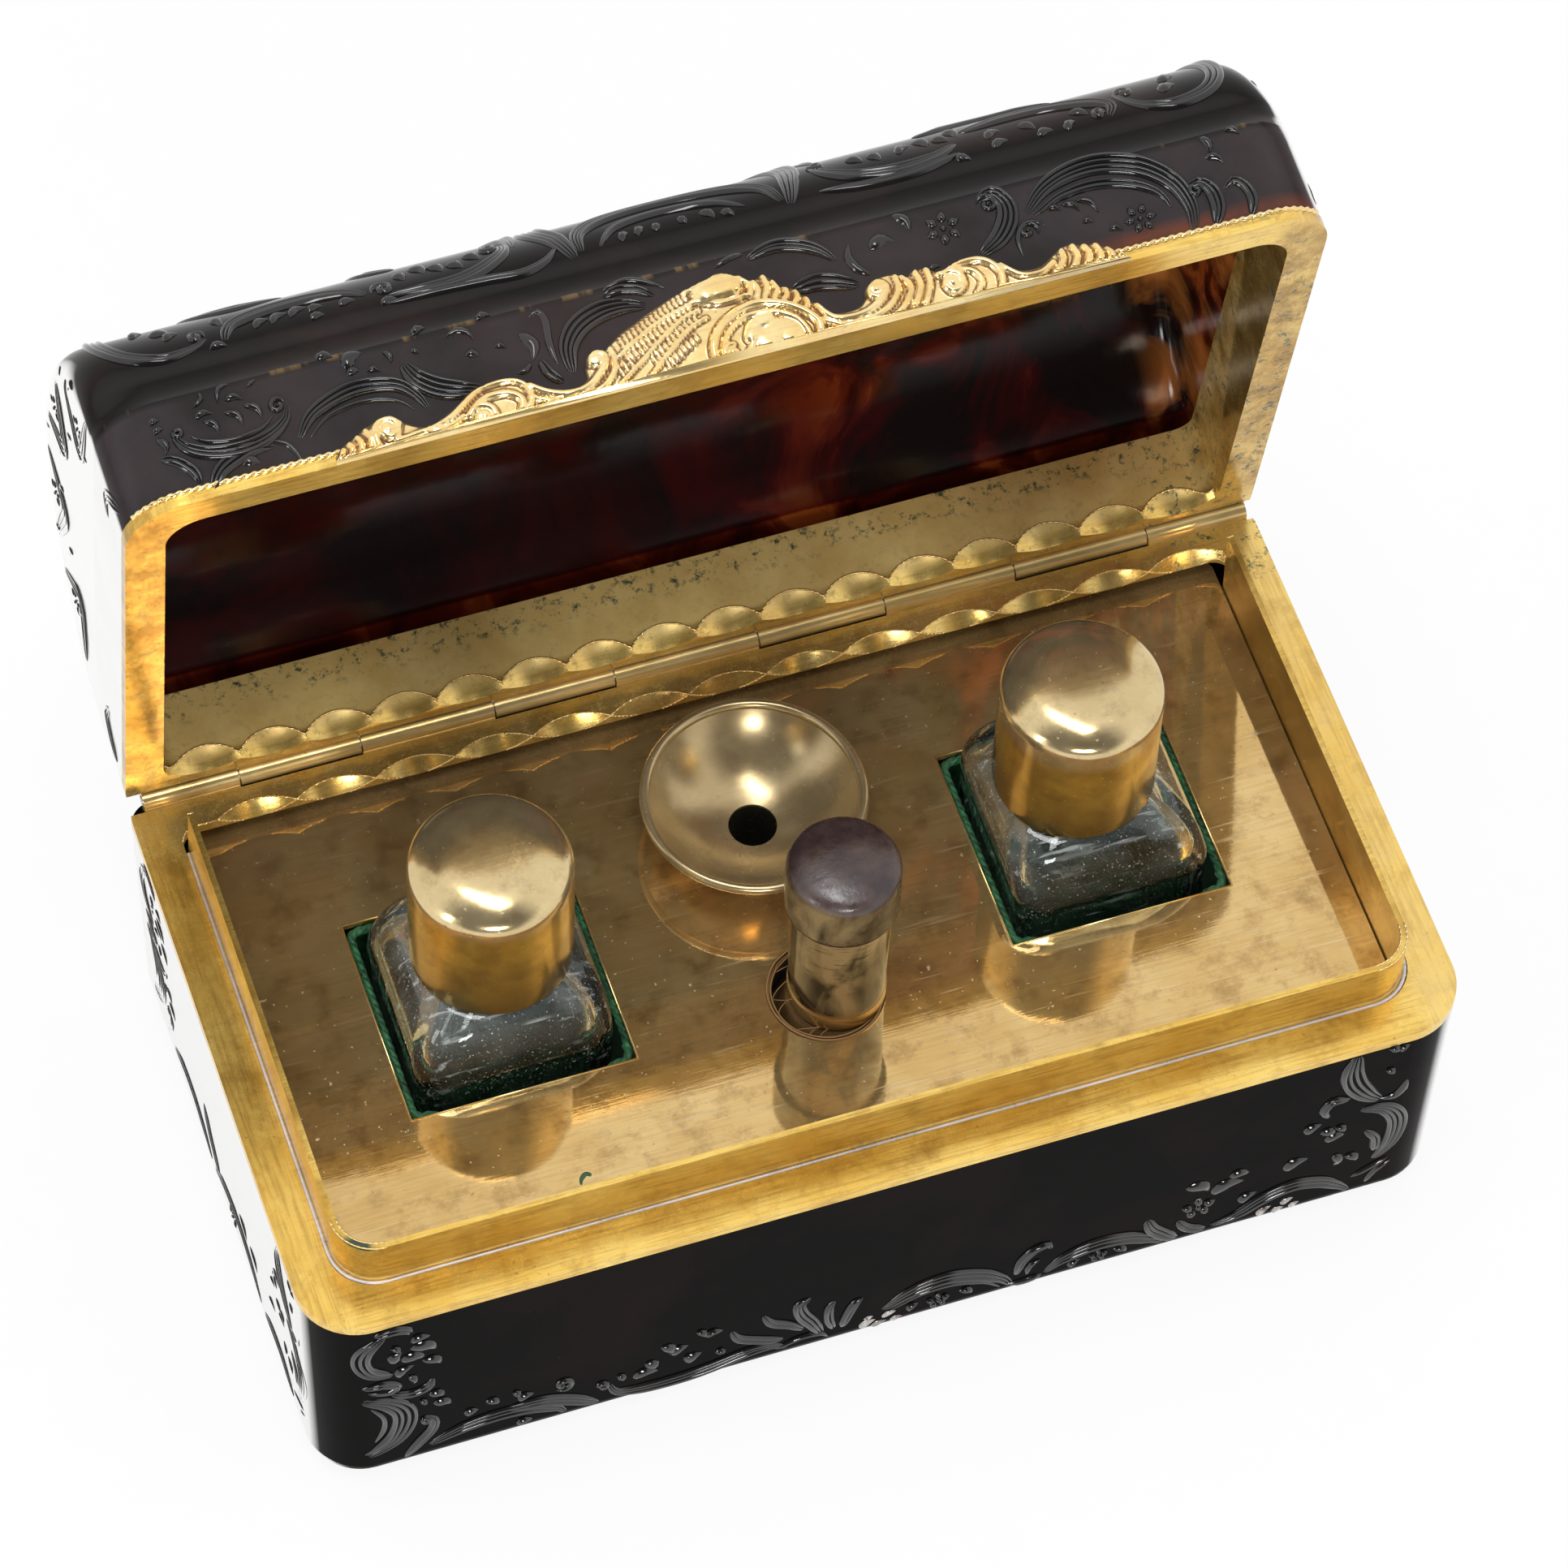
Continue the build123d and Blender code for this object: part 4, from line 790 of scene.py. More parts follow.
def carve_garland(c):
    c.ribs(3, 0.55, -40.2, 2.9, -37.4, 4.4, -34, 4.9, -31, 4.3, -29, 2.9, -28.5, 1.9)
    c.ribs(3, 0.5, -33.6, 5.4, -30.4, 5.1, -27.8, 3.8, -26.2, 2.5, -25.6, 1.9)
    c.curl(-28.7, 7, 1, -2.2, 1.2)
    c.leaves(-37.2, 6.4, -36, 6.8, 0.45, -35.4, 7.7, -34.2, 6.9, 0.4, -33.1, 8, -32.6, 7.1, 0.35,
        -32.6, 6.3, -31.2, 6.9, 0.4, -32.7, 2.1, -31.3, 2.3, 0.35, -24, 5.6, -23.5, 4.6, 0.4,
        -22.6, 4.4, -20.4, 4.6, 0.5, -21.6, 6.4, -20.8, 5, 0.6, -17.8, 4.5, -16.6, 5.6, 0.6,
        -18.2, 5.6, -17.4, 4.6, 0.5, -17.2, 9.5, -16.4, 8.2, 0.35, -16.4, 8.3, -14.8, 8.6, 0.3,
        -20.2, 8.6, -19.4, 6.8, 0.55, -19.2, 6.6, -17.8, 7.6, 0.5, -15.4, 4.8, -14.4, 4.6, 0.3)
    c.curl(-25.2, 4.6, 0.6, 3, -1)
    c.ribs(3, 0.5, -24.6, 4.4, -23.9, 2.9, -21.6, 2.3, -18.4, 2.2, -15.6, 2.6, -12.6, 3.4, -10.4, 3.2, -9, 2.2)
    c.ribs(2, 0.5, -14, 7.8, -13.4, 6.3, -11.4, 4.9, -9.4, 3.9)
    c.ribs(2, 0.5, -11.3, 9, -10.5, 7.4, -8.8, 6.1, -7.6, 4.6)
    c.ribs(2, 0.5, -5, 8.1, -5.4, 7.2, -5.4, 5.2, -4.9, 3.2)
    c.ribs(2, 0.5, -2.5, 7.3, -3.1, 6.7, -3.7, 5, -4.2, 3)
    c.ribs(3, 0.5, -7.2, 9.9, -8.1, 9.1, -7.8, 7.3, -6.9, 5.4, -6, 3)
    c.line(-10, 2.3, -8, 3.2, -6.2, 3, -5.4, 2)
    c.ribs(3, 0.6, -0.6, 4, 2, 6, 5, 6.6, 8, 5.4, 10, 3.6, 10.9, 2)
    c.line(0, 3.4, 2.6, 5, 5.4, 5.2, 8.2, 4, 9.9, 2.1)
    c.flower(4.3, 3, 1.1, 5)
    c.ribs(2, 0.5, 14.2, 6.4, 13.9, 7.3, 12.8, 7.1, 11.7, 5.6, 11.2, 3.4)
    c.line(13.4, 5.2, 12.5, 4.6, 12.1, 3)
    c.line(10.6, 2.2, 12, 1.9, 13.6, 2.3, width=0.4)
    c.ribs(3, 0.6, 13.9, 2.4, 15.2, 3.9, 18, 5, 21, 4.6, 23.4, 3.2, 24.5, 2)
    c.flower(18.6, 2.9, 0.9, 5)
    c.ribs(3, 0.5, 22.8, 6.6, 23.4, 4.8, 24.8, 3, 25.7, 2)
    c.ribs(2, 0.5, 25.6, 4.9, 26.6, 3.3, 28.3, 2.3)
    c.flower(27.3, 6.4, 1.6, 5)
    c.leaves(25.9, 10.3, 28.1, 8.8, 0.7, 28.4, 8, 31.2, 9, 0.7, 29.8, 10.2, 31.6, 10.2, 0.45, 31.2, 5, 32.6, 6.2, 0.5,
        16, 2.2, 17, 3, 0.35, 20, 3, 21.2, 2.2, 0.35, 1.6, 2.6, 2.6, 3.4, 0.35, 6.2, 3.4, 7.4, 2.6, 0.35)
    c.ribs(3, 0.55, 28.8, 2.4, 31, 3.1, 33.4, 4.8, 36, 5.6, 38.6, 4.7, 40.4, 3, 41.2, 1.9)


def carve_dome_end(c):
    """Scrolls that follow the arch of the lid's end."""
    def arch(turn, part):
        a = math.radians(turn)
        return -DOME_HALF * math.cos(a) * part, PANEL_RISE + DOME_RISE * math.sin(a) * part

    for start, count in ((8, 3), (52, 4), (98, 4), (140, 3)):
        line = [arch(start + k * 6, 0.9 - 0.3 * math.sin(math.pi * k / 5)) for k in range(6)]
        c.ribs(count, 0.6, *itertools.chain(*line))
    for turn, part in ((12, 0.62), (30, 0.88), (46, 0.6), (50, 0.9), (78, 0.62), (90, 0.88), (104, 0.62),
                       (128, 0.88), (134, 0.6), (160, 0.7)):
        u, v = arch(turn, part)
        c.leaf(u - 0.9, v - 0.4, u + 0.9, v + 0.5, 0.6)
    for turn, part in ((22, 0.74), (66, 0.8), (112, 0.8), (152, 0.76)):
        c.flower(*arch(turn, part), 1.3, 5)
    for side in (-1, 1):
        c.ribs(3, 0.5, side * 23.4, 2.6, side * 22, 4.6, side * 20.2, 5.6, side * 18, 5)


flat_relief = {"fat": 0.6, "tall": 0.45}
for name, draw, at, look, options in (
    ("lid_panel_carving", carve_panel, lid_panel(-1), carved_lid, {}),
    ("lid_rear_carving", carve_panel, lid_panel(1), carved_lid, {"flip": True}),
    ("lid_dome_carving", carve_dome, lid_dome(-1), carved_lid, {}),
    ("lid_dome_rear_carving", carve_dome, lid_dome(1), carved_lid, {"flip": True}),
    ("lid_left_end_carving", carve_dome_end, lid_end(-1), lid_horn, {"turned": True, **flat_relief}),
    ("lid_right_end_carving", carve_dome_end, lid_end(1), lid_horn, flat_relief),
):
    c = Carving(at, **options)
    draw(c)
    c.make(name, look, "lid")

for name, out in (("body_front_carving", -1), ("body_rear_carving", 1)):
    c = Carving(body_side(out), flip=out > 0)
    carve_left_corner(c)
    carve_right_corner(c)
    carve_garland(c)
    c.make(name, carved_body, "casket")
for name, out in (("body_left_end_carving", -1), ("body_right_end_carving", 1)):
    c = Carving(body_side(out, end=True), flip=out < 0, fat=0.65, tall=0.45)
    for draw, shift in ((carve_left_corner, 23.1), (carve_right_corner, -22.6)):
        c.shift = out * shift
        draw(c)
    c.shift = out * -5.5
    c.ribs(3, 0.55, -11, 2.9, -8, 4.6, -4.6, 4.9, -1.6, 3.6, 0, 2.1)
    c.ribs(3, 0.55, 1, 2.2, 4, 4.4, 8, 5.4, 12, 4.4, 14.6, 2.2)
    c.ribs(3, 0.55, 15.6, 2.2, 18, 3.6, 21, 3.9, 24, 2.4)
    c.ribs(3, 0.5, -1, 9.8, 0.2, 7, 1.6, 5, 2.6, 3)
    c.flower(6.5, 3.1, 1.1, 5)
    c.leaves(9, 8, 11, 6.6, 12, 7.6, 14, 6.2, width=0.7)
    c.make(name, body_horn, "casket")


# Thumbpiece: a cast crest whose face is worked up from its scrolls and ribs
CREST_FACE, CREST_BACK, CREST_FOOT = -26.95, -26.93, 26.8
crest_lines = []


def crest(width, height, *numbers):
    crest_lines.append((curve(pairs(numbers), 0.25), width, height))


def crest_curl(u, v, size, start, turns, width=0.3, height=0.42):
    crest_lines.append((spiral(u, v, size, start, turns, 0.8, 16), width, height))
    crest_lines.append(([(u - 0.01, v), (u + 0.01, v)], size * 0.42, 0.5))


def comb(u, v, u2, v2, count, length, lean):
    """Short ribs side by side along a line."""
    du, dv = length * math.cos(lean), length * math.sin(lean)
    for k in range(count):
        t = (k + 0.5) / count
        x, z = u + (u2 - u) * t, v + (v2 - v) * t
        crest_lines.append(([(x, z), (x + du / 2, z + dv / 2), (x + du, z + dv)], 0.13, 0.22))


crest_edge = pairs((-33, 0, -32.9, 0.6, -32.2, 1.15, -31.2, 1.65, -30, 2.3, -29, 2.62, -28.2, 2.75, -27.6, 2.5,
    -27.1, 2, -26.5, 1.6, -25.8, 1.2, -25.2, 1.05, -24.4, 1.3, -23.2, 1.85, -22.4, 2.3, -21.4, 2.9, -20.4, 3.2,
    -19.4, 3.35, -18.3, 3.4, -17.4, 3.15, -16.8, 2.7, -16, 2.1, -15, 1.5, -14, 1.15, -13.2, 1.05, -12.6, 1.2,
    -12.05, 1.7, -11.95, 2.4, -11.7, 3.2, -11.2, 3.65, -10.6, 3.75, -10.1, 3.6, -9.6, 3.9, -9, 4.3, -8.2, 4.8,
    -7.2, 5.2, -6, 5.75, -4.8, 6.2, -3.4, 6.7, -2, 7, -1, 7.3, 0.2, 7.45, 1.2, 7.3, 2, 7, 2.5, 6.5, 3, 6.25, 3.6, 6.5,
    4.2, 6.4, 4.6, 5.8, 5, 5.05, 5.8, 4.8, 6.2, 4.2, 6.6, 3.7, 7.1, 3.1, 7.6, 2.5, 8, 1.95, 8.8, 1.7, 9.8, 1.65,
    10.7, 1.9, 11.1, 2.4, 11.3, 3, 11.8, 3.5, 12.6, 3.8, 13.4, 3.9, 14.2, 3.75, 14.75, 3.2, 15.1, 3.5, 15.8, 3.7,
    16.6, 3.6, 17.2, 3.15, 17.6, 2.95, 18.4, 3.25, 19.4, 3.5, 20.4, 3.5, 21.4, 3.3, 22, 2.9, 22.6, 2.3, 23.2, 1.8,
    23.8, 1.4, 24.6, 1.25, 25.4, 1.3, 26.2, 1.7, 27, 2.15, 27.8, 2.5, 28.6, 2.45, 29.2, 2.15, 29.8, 2.1, 30.4, 1.95,
    31, 1.4, 31.6, 0.9, 32.2, 0.45, 32.6, 0))
crest(0.24, 0.34, -32.5, 0, -32.3, 0.8)
crest(0.24, 0.34, -31.7, 0, -31.5, 0.8, -31.8, 1.3)
crest(0.24, 0.34, -30.9, 0, -30.7, 1, -31, 1.6)
crest(0.24, 0.34, -30.1, 0, -29.9, 1.1, -30.2, 2)
crest_curl(-28.35, 1.45, 1.15, 3.5, -1.4)
crest(0.3, 0.4, -29.4, 0.1, -29.5, 1.4, -28.9, 2.35, -28, 2.45, -27.4, 1.8)
crest(0.26, 0.34, -28, 0.35, -26.6, 0.5, -25, 0.7, -23.4, 1.2, -22, 2.1, -20.6, 2.9, -18.8, 3.1, -17.4, 2.7,
    -16.8, 1.8, -16.9, 0.8, -17.5, 0.1)
crest(0.22, 0.28, -25.6, 0.2, -23.6, 0.5, -22.4, 1)
crest(0.3, 0.36, -17.9, 0.1, -17.6, 1.1, -18.4, 1.9, -19.8, 2.1, -21, 1.7, -21.9, 0.9)
crest_curl(-20.8, 0.45, 1.1, 2.4, -1.3)
crest(0.3, 0.42, -16.6, 2.1, -15.5, 1.2, -14, 0.65, -12.4, 0.75, -11.2, 1.5, -10.4, 2.4, -10.4, 3.2, -11.1, 3.3,
    -11.5, 2.7)
crest_curl(-11.05, 2.85, 0.7, 0.4, 1.2, 0.24)
crest(0.24, 0.32, -16.7, 1, -15.4, 0.4, -13.6, 0.1)
crest(0.24, 0.32, -12.8, 0.1, -11.2, 0.4, -10, 1.4, -9.6, 2.6, -9.7, 3.5)
crest(0.2, 0.3, -9.6, 0.4, -7.6, 1.7, -5.2, 3.3, -3.4, 4.3, -2, 4.7)
crest(0.2, 0.3, -7.4, 0.2, -5.2, 1.9, -3.2, 3.3, -1.6, 3.9)
crest(0.2, 0.26, -9.2, 2.6, -7.4, 3.6, -5, 4.7, -2.2, 5.5)
comb(-8.8, 3.3, -2.4, 6, 15, 0.75, 1.75)
comb(-8.4, 1.9, -2.4, 4.9, 14, 0.75, 1.8)
comb(-6.8, 1.2, -2.2, 4, 11, 0.6, 1.8)
comb(-5.8, 0.3, -2.6, 2.3, 8, 0.6, 1.8)
comb(-9.6, 0.9, -8.2, 1.7, 3, 0.8, 1.8)
crest(1, 0.55, -0.9, 6.1, 0, 6.2, 0.9, 6.2)
crest_curl(0.2, 6.1, 1.45, -0.4, 1.1, 0.2, 0.5)
crest(0.2, 0.3, -2.2, 5.6, -1, 5, 0.6, 4.8, 2, 5)
crest(0.2, 0.3, -2.6, 6.6, -1.6, 6.9, -0.6, 7.1)
crest(0.24, 0.36, 2, 6.7, 2.6, 5.7, 2.3, 4.8)
crest(0.24, 0.36, 2.9, 6.1, 3.1, 5.2, 2.8, 4.5)
crest(0.24, 0.36, 3.8, 6.3, 3.9, 5.2, 3.4, 4.4)
crest(0.24, 0.36, 4.5, 5.6, 4.6, 4.8, 4.1, 4.1)
crest(0.24, 0.36, 5.2, 4.9, 5.2, 4.2, 4.8, 3.8)
crest(0.24, 0.36, 6, 4.3, 5.9, 3.7, 5.5, 3.3)
crest(0.24, 0.36, 6.6, 3.5, 6.5, 2.9, 6.2, 2.6)
crest(0.34, 0.46, -2, 0.1, -1.8, 1.4, -0.8, 2.8, 0.8, 3.7, 2.6, 4, 4.4, 3.5, 5.9, 2.5, 6.8, 1.2, 6.7, 0.1)
crest(0.24, 0.34, -1.2, 0.8, -0.4, 2.1, 1, 3, 2.6, 3.2, 4.2, 2.7, 5.4, 1.7, 5.9, 0.2)
crest_curl(-0.55, 0.35, 0.75, 1.2, 1.2, 0.26)
crest(0.55, 0.36, 1.3, 1.3, 1.9, 2.2, 3, 2.4)
crest(1.1, 0.34, 2.6, 0.6, 3.6, 1.2, 4.4, 0.8)
crest(0.22, 0.3, 0.6, 0.2, 1.2, 0.6, 1.2, 1.4)
crest(0.3, 0.42, 7.2, 2.6, 8, 1.3, 9.4, 0.9, 11, 1.1, 12.4, 1.9, 12.9, 2.8, 12.3, 3.3, 11.6, 2.9)
crest_curl(12.1, 2.6, 0.75, 2.4, 1.2, 0.24)
crest(0.24, 0.3, 7.2, 1.3, 8.8, 0.4, 10.8, 0.4, 12.6, 1, 13.8, 2.2, 13.9, 3.4)
crest(0.26, 0.36, 14.5, 3.3, 14.8, 2, 13.7, 0.6, 12.6, 0)
crest(0.26, 0.36, 15.5, 3.45, 15.6, 2, 14.6, 0.5)
crest(0.26, 0.36, 16.5, 3.4, 16.4, 2, 15.5, 0.4)
crest_curl(18.1, 1.6, 1.1, 2.2, -1.4)
crest(0.3, 0.4, 17.3, 2.6, 18.8, 3.1, 20.6, 3.1, 21.7, 2.3, 22.1, 1.2, 21.8, 0.1)
crest(0.24, 0.32, 19.6, 0.1, 20.4, 1.1, 20, 2.2, 19, 2.6)
crest(0.26, 0.34, 22.3, 2.1, 23.6, 0.8, 25.2, 0.6, 26.4, 1.2)
crest(0.28, 0.4, 26.3, 0.1, 27.2, 1.1, 27.3, 2)
crest(0.28, 0.4, 27.6, 0, 28.4, 1.1, 28.3, 2.1)
crest(0.28, 0.4, 28.8, 0, 29.4, 1, 29.2, 1.9)
crest(0.28, 0.4, 29.9, 0, 30.3, 0.9, 30.1, 1.7)
crest(0.28, 0.4, 30.9, 0, 31.2, 0.6, 31, 1.2)
crest(0.28, 0.4, 31.8, 0, 31.9, 0.4)


def distances(points, line):
    """How far each point is from a line of short segments."""
    best = numpy.full(len(points), 1e9)
    for a, b in zip(line[:-1], line[1:]):
        way = numpy.subtract(b, a)
        rel = points - numpy.array(a)
        t = numpy.clip(rel @ way / max(float(way @ way), 1e-9), 0, 1)
        best = numpy.minimum(best, ((rel - t[:, None] * way) ** 2).sum(axis=1))
    return numpy.sqrt(best)


def build_crest():
    step = 0.17
    rim = curve(crest_edge, 0.22)
    loop = rim + rim[:1]
    spots = numpy.array([
        (u + (k % 2) * step / 2, v)
        for k, v in enumerate(numpy.arange(step * 0.6, 7.5, step)) for u in numpy.arange(-32.9, 32.6, step)
    ])
    inside = numpy.zeros(len(spots), dtype=bool)
    for (ax, az), (bx, bz) in zip(loop[:-1], loop[1:]):
        if az != bz:
            spans = (spots[:, 1] < az) != (spots[:, 1] < bz)
            inside ^= spans & (spots[:, 0] < ax + (spots[:, 1] - az) / (bz - az) * (bx - ax))
    inside &= distances(spots, loop) > step * 0.6
    plan = [Vector(p) for p in rim + [tuple(p) for p in spots[inside]]]
    sides = [(i, (i + 1) % len(rim)) for i in range(len(rim))]
    flat, _, faces, *_ = geometry.delaunay_2d_cdt(plan, sides, [], 1, 1e-5)
    points = numpy.array([(p.x, p.y) for p in flat])
    edge = distances(points, loop)
    tall = 0.32 + 0.26 * numpy.sqrt(numpy.clip(edge / 0.3, 0, 1)) + 0.12 * numpy.clip(edge / 1.6, 0, 1)
    tall += 0.22 * numpy.exp(-((points[:, 0] / 9) ** 2) - ((points[:, 1] - 2.6) / 3.5) ** 2)
    # The hollow beside each raised line is kept as an attribute, where the material paints shade.
    extra, hollow_shade = numpy.zeros(len(points)), numpy.zeros(len(points))
    for line, width, height in crest_lines:
        away = distances(points, line)
        rise = 1.3 * height * numpy.sqrt(numpy.clip(1 - (away / (width * 1.2)) ** 2, 0, 1))
        beside = numpy.exp(-(((away - width * 1.35) / 0.12) ** 2)) * numpy.where(extra > 0.12, 0, 1)
        hollow_shade = numpy.where(away < width * 1.1, 0, numpy.maximum(hollow_shade, beside))
        extra = numpy.maximum(extra, rise)
        groove = -0.1 * numpy.exp(-(((away - width * 1.55) / (width * 0.5)) ** 2))
        extra = numpy.where(extra > 0, extra, numpy.minimum(extra, groove))
    tall += extra * numpy.clip(edge / 0.12, 0.25, 1)
    tall = numpy.where(points[:, 1] < 0.02, numpy.maximum(tall, 0.5), tall)
    verts = [opened(u, CREST_FACE - h, CREST_FOOT + v) for (u, v), h in zip(points, tall)]
    front = len(verts)
    sides = dict.fromkeys((f[i], f[(i + 1) % len(f)]) for f in faces for i in range(len(f)))
    border = [(i, j) for i, j in sides if (j, i) not in sides]
    back = {}
    for k in itertools.chain(*border):
        if k not in back:
            back[k] = len(verts)
            verts.append(opened(points[k][0], CREST_BACK, CREST_FOOT + points[k][1]))
    faces = [tuple(f) for f in faces] + [(j, i, back[i], back[j]) for i, j in border]
    made = piece("thumbpiece_casting", verts, faces, thumb_gilt, "lid")
    shade = made.data.attributes.new("hollow_shade", "FLOAT", "POINT")
    shade.data.foreach_set("value", [float(h) for h in hollow_shade] + [0.0] * (len(verts) - front))
    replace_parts(made, "thumbpiece")


build_crest()


# Lid shell: the vault with softly rounded gable edges, and its inside
def vault(inset, lean):
    """Section of the lid's shell from its front foot over the crown to the rear foot."""
    foot, half, rise = HALF_DEPTH - inset, DOME_HALF - inset, DOME_RISE - inset
    fold, cove = foot - lean, 3.2
    meet = math.asin(cove / rise)
    points = [(foot - (foot - fold) * k / 6, VAULT_FOOT + (FOLD - VAULT_FOOT) * k / 6) for k in range(7)]
    a, c = Vector((fold, FOLD)), Vector((half * math.cos(meet), FOLD + cove))
    b = (a + c) / 2 - Vector((0.1, 0.1))
    for k in range(1, 9):
        t = k / 8
        points.append(a * (1 - t) * (1 - 2 * t) + b * 4 * t * (1 - t) + c * t * (2 * t - 1))
    for k in range(1, 45):
        t = meet + (math.pi / 2 - meet) * k / 44
        points.append((half * math.cos(t), FOLD + rise * math.sin(t)))
    return [(-y, z) for y, z in points] + [(y, z) for y, z in reversed(points[:-1])]


def build_lid():
    verts, faces, walls = [], [], []
    for inset, lean, half, radii in (
        (0.0, 0.2, HALF_LENGTH, (FRONT_EDGE, REAR_EDGE, CROWN_EDGE)), (2.7, 0.0, 47.3, (2.5, 1.6, 0.5)),
    ):
        outward = inset == 0
        turns = [math.pi / 2 * k / 12 for k in range(13)]
        stations = [(-half, turn) for turn in turns] + [(None, -1 + 2 * k / 14) for k in range(1, 14)]
        stations += [(half, turn) for turn in reversed(turns)]
        rows = []
        for end, turn in stations:
            row = []
            for y, z in vault(inset, lean):
                t = dome_turn(z - FOLD)
                way = Vector((math.copysign(math.cos(t) / DOME_HALF, y), math.sin(t) / DOME_RISE)).normalized()
                x, shrink = turn * (half - 6.0), 0.0
                if end:
                    radius = edge_radius(y >= 0, z, radii)
                    if outward and z > FOLD:
                        wide = max(gable_half(z - FOLD) * math.cos(t), abs(y))
                        y += math.copysign((wide - abs(y)) * ease(1 - turn / (math.pi / 2), 0, 1), y)
                    x = math.copysign(half - radius * (1 - math.cos(turn)), end)
                    shrink = radius * (1 - math.sin(turn))
                row.append(len(verts))
                verts.append(opened(x, y - way.x * shrink, max(z - way.y * shrink, VAULT_FOOT)))
            rows.append(row)
        walls.append(rows)
        for a, b in zip(rows[:-1], rows[1:]):
            for i in range(len(a) - 1):
                quad = (a[i], a[i + 1], b[i + 1], b[i])
                faces.append((quad[::-1] if outward else quad, outward))
        for row, flip in ((rows[0], outward), (rows[-1], not outward)):
            for i in range(len(row) // 2):
                j = len(row) - 1 - i
                quad = (row[i], row[i + 1], row[j - 1], row[j]) if j - 1 > i + 1 else (row[i], row[i + 1], row[j])
                faces.append((quad[::-1] if flip else quad, outward))
    outer, inner = walls
    for a, b, c, d in zip(outer[:-1], outer[1:], inner[:-1], inner[1:]):
        faces += [((a[0], b[0], d[0], c[0]), True), ((a[-1], c[-1], d[-1], b[-1]), True)]
    for k, way in ((0, 1), (-1, -1)):
        faces.append(((outer[k][0], inner[k][0], inner[k][-1], outer[k][-1])[::way], True))
    made = piece("lid_vault", verts, [f for f, _ in faces], lid_horn, "lid")
    made.data.materials.append(inside_horn.mat)
    for polygon, (_, outward) in zip(made.data.polygons, faces):
        polygon.material_index = 0 if outward else 1
    bm = bmesh.new()
    bm.from_mesh(made.data)
    bmesh.ops.recalc_face_normals(bm, faces=bm.faces)
    for edge in bm.edges:
        if len(edge.link_faces) == 2 and edge.calc_face_angle(0) > 0.6:
            edge.smooth = False
    bm.to_mesh(made.data)
    bm.free()
    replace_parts(made, "lid_shell")


build_lid()


# Soft pieces in the wells
def square_path(x, y, half, radius, step):
    """Points round a square with rounded corners."""
    straight = 2 * (half - radius)
    count = int(straight / step)
    side = [(half, -straight / 2 + straight * i / count) for i in range(count)]
    for i in range(6):
        a = math.pi / 2 * i / 6
        side.append((half - radius + radius * math.cos(a), straight / 2 + radius * math.sin(a)))
    quarters = [(math.cos(math.pi / 2 * k), math.sin(math.pi / 2 * k)) for k in range(4)]
    return [(x + u * c - v * s, y + u * s + v * c) for c, s in quarters for u, v in side]


def round_path(x, y, radius, count=64):
    turns = [2 * math.pi * k / count for k in range(count)]
    return [(x + radius * math.cos(a), y + radius * math.sin(a)) for a in turns]


def twisted_cord(name, path, middle, half, z, radius, lay, strands, node):
    """A closed silk cord of twisted strands on a level path, pressed down under the bottle's shoulders."""
    length, along = runs(path + path[:1])[-1], runs(path)
    turns = round(length / lay)

    def thick(i, a):
        twist = 2 * math.pi * turns * along[i] / length
        return radius * (0.62 + 0.38 * abs(math.cos(strands * (a - twist) / 2)))

    def moved(p, out):
        u, v = (p.x - middle[0]) / half, (p.y - middle[1]) / half
        right_side = ease(u, 0.8, 0.97) * ease(0.86 - abs(v), 0, 0.12)
        near_side = ease(-v, 0.8, 0.97) * ease(0.86 - abs(u), 0, 0.12)
        return p + (out * 0.3 - Vector((0, 0, 0.35))) * max(right_side, near_side)

    cord = Shape()
    cord.tube([(x, y, z) for x, y in path], thick, 8 * strands, loop=True, moved=moved)
    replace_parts(cord.make(name, green_silk, "casket", "green_silk"), node)


def well_lining(name, path, hem, look, node):
    """Silk stretched round a well's wall, with its lower hem turned in."""
    *_, low, high = span(node)
    top, bottom, count = high.z - 0.05, low.z + 0.1, len(path)
    middle = sum((Vector(p) for p in path), Vector((0, 0))) / count
    rows = [(0, top - (top - bottom) * k / 8) for k in range(9)] + ([(hem, bottom)] if hem else [])
    verts = []
    for inward, z in rows:
        for i, p in enumerate(path):
            off = Vector(p) - middle
            wrinkle = 0.03 * math.sin(i * 1.7 + z * 0.9)
            spot = middle + off * (1 - (inward + wrinkle) / off.length)
            verts.append((spot.x, spot.y, z))
    faces = [(a, d, c, b) for a, b, c, d in lattice(0, len(rows), count)]
    made = piece(name, verts, faces, look, "casket")
    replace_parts(made, node)


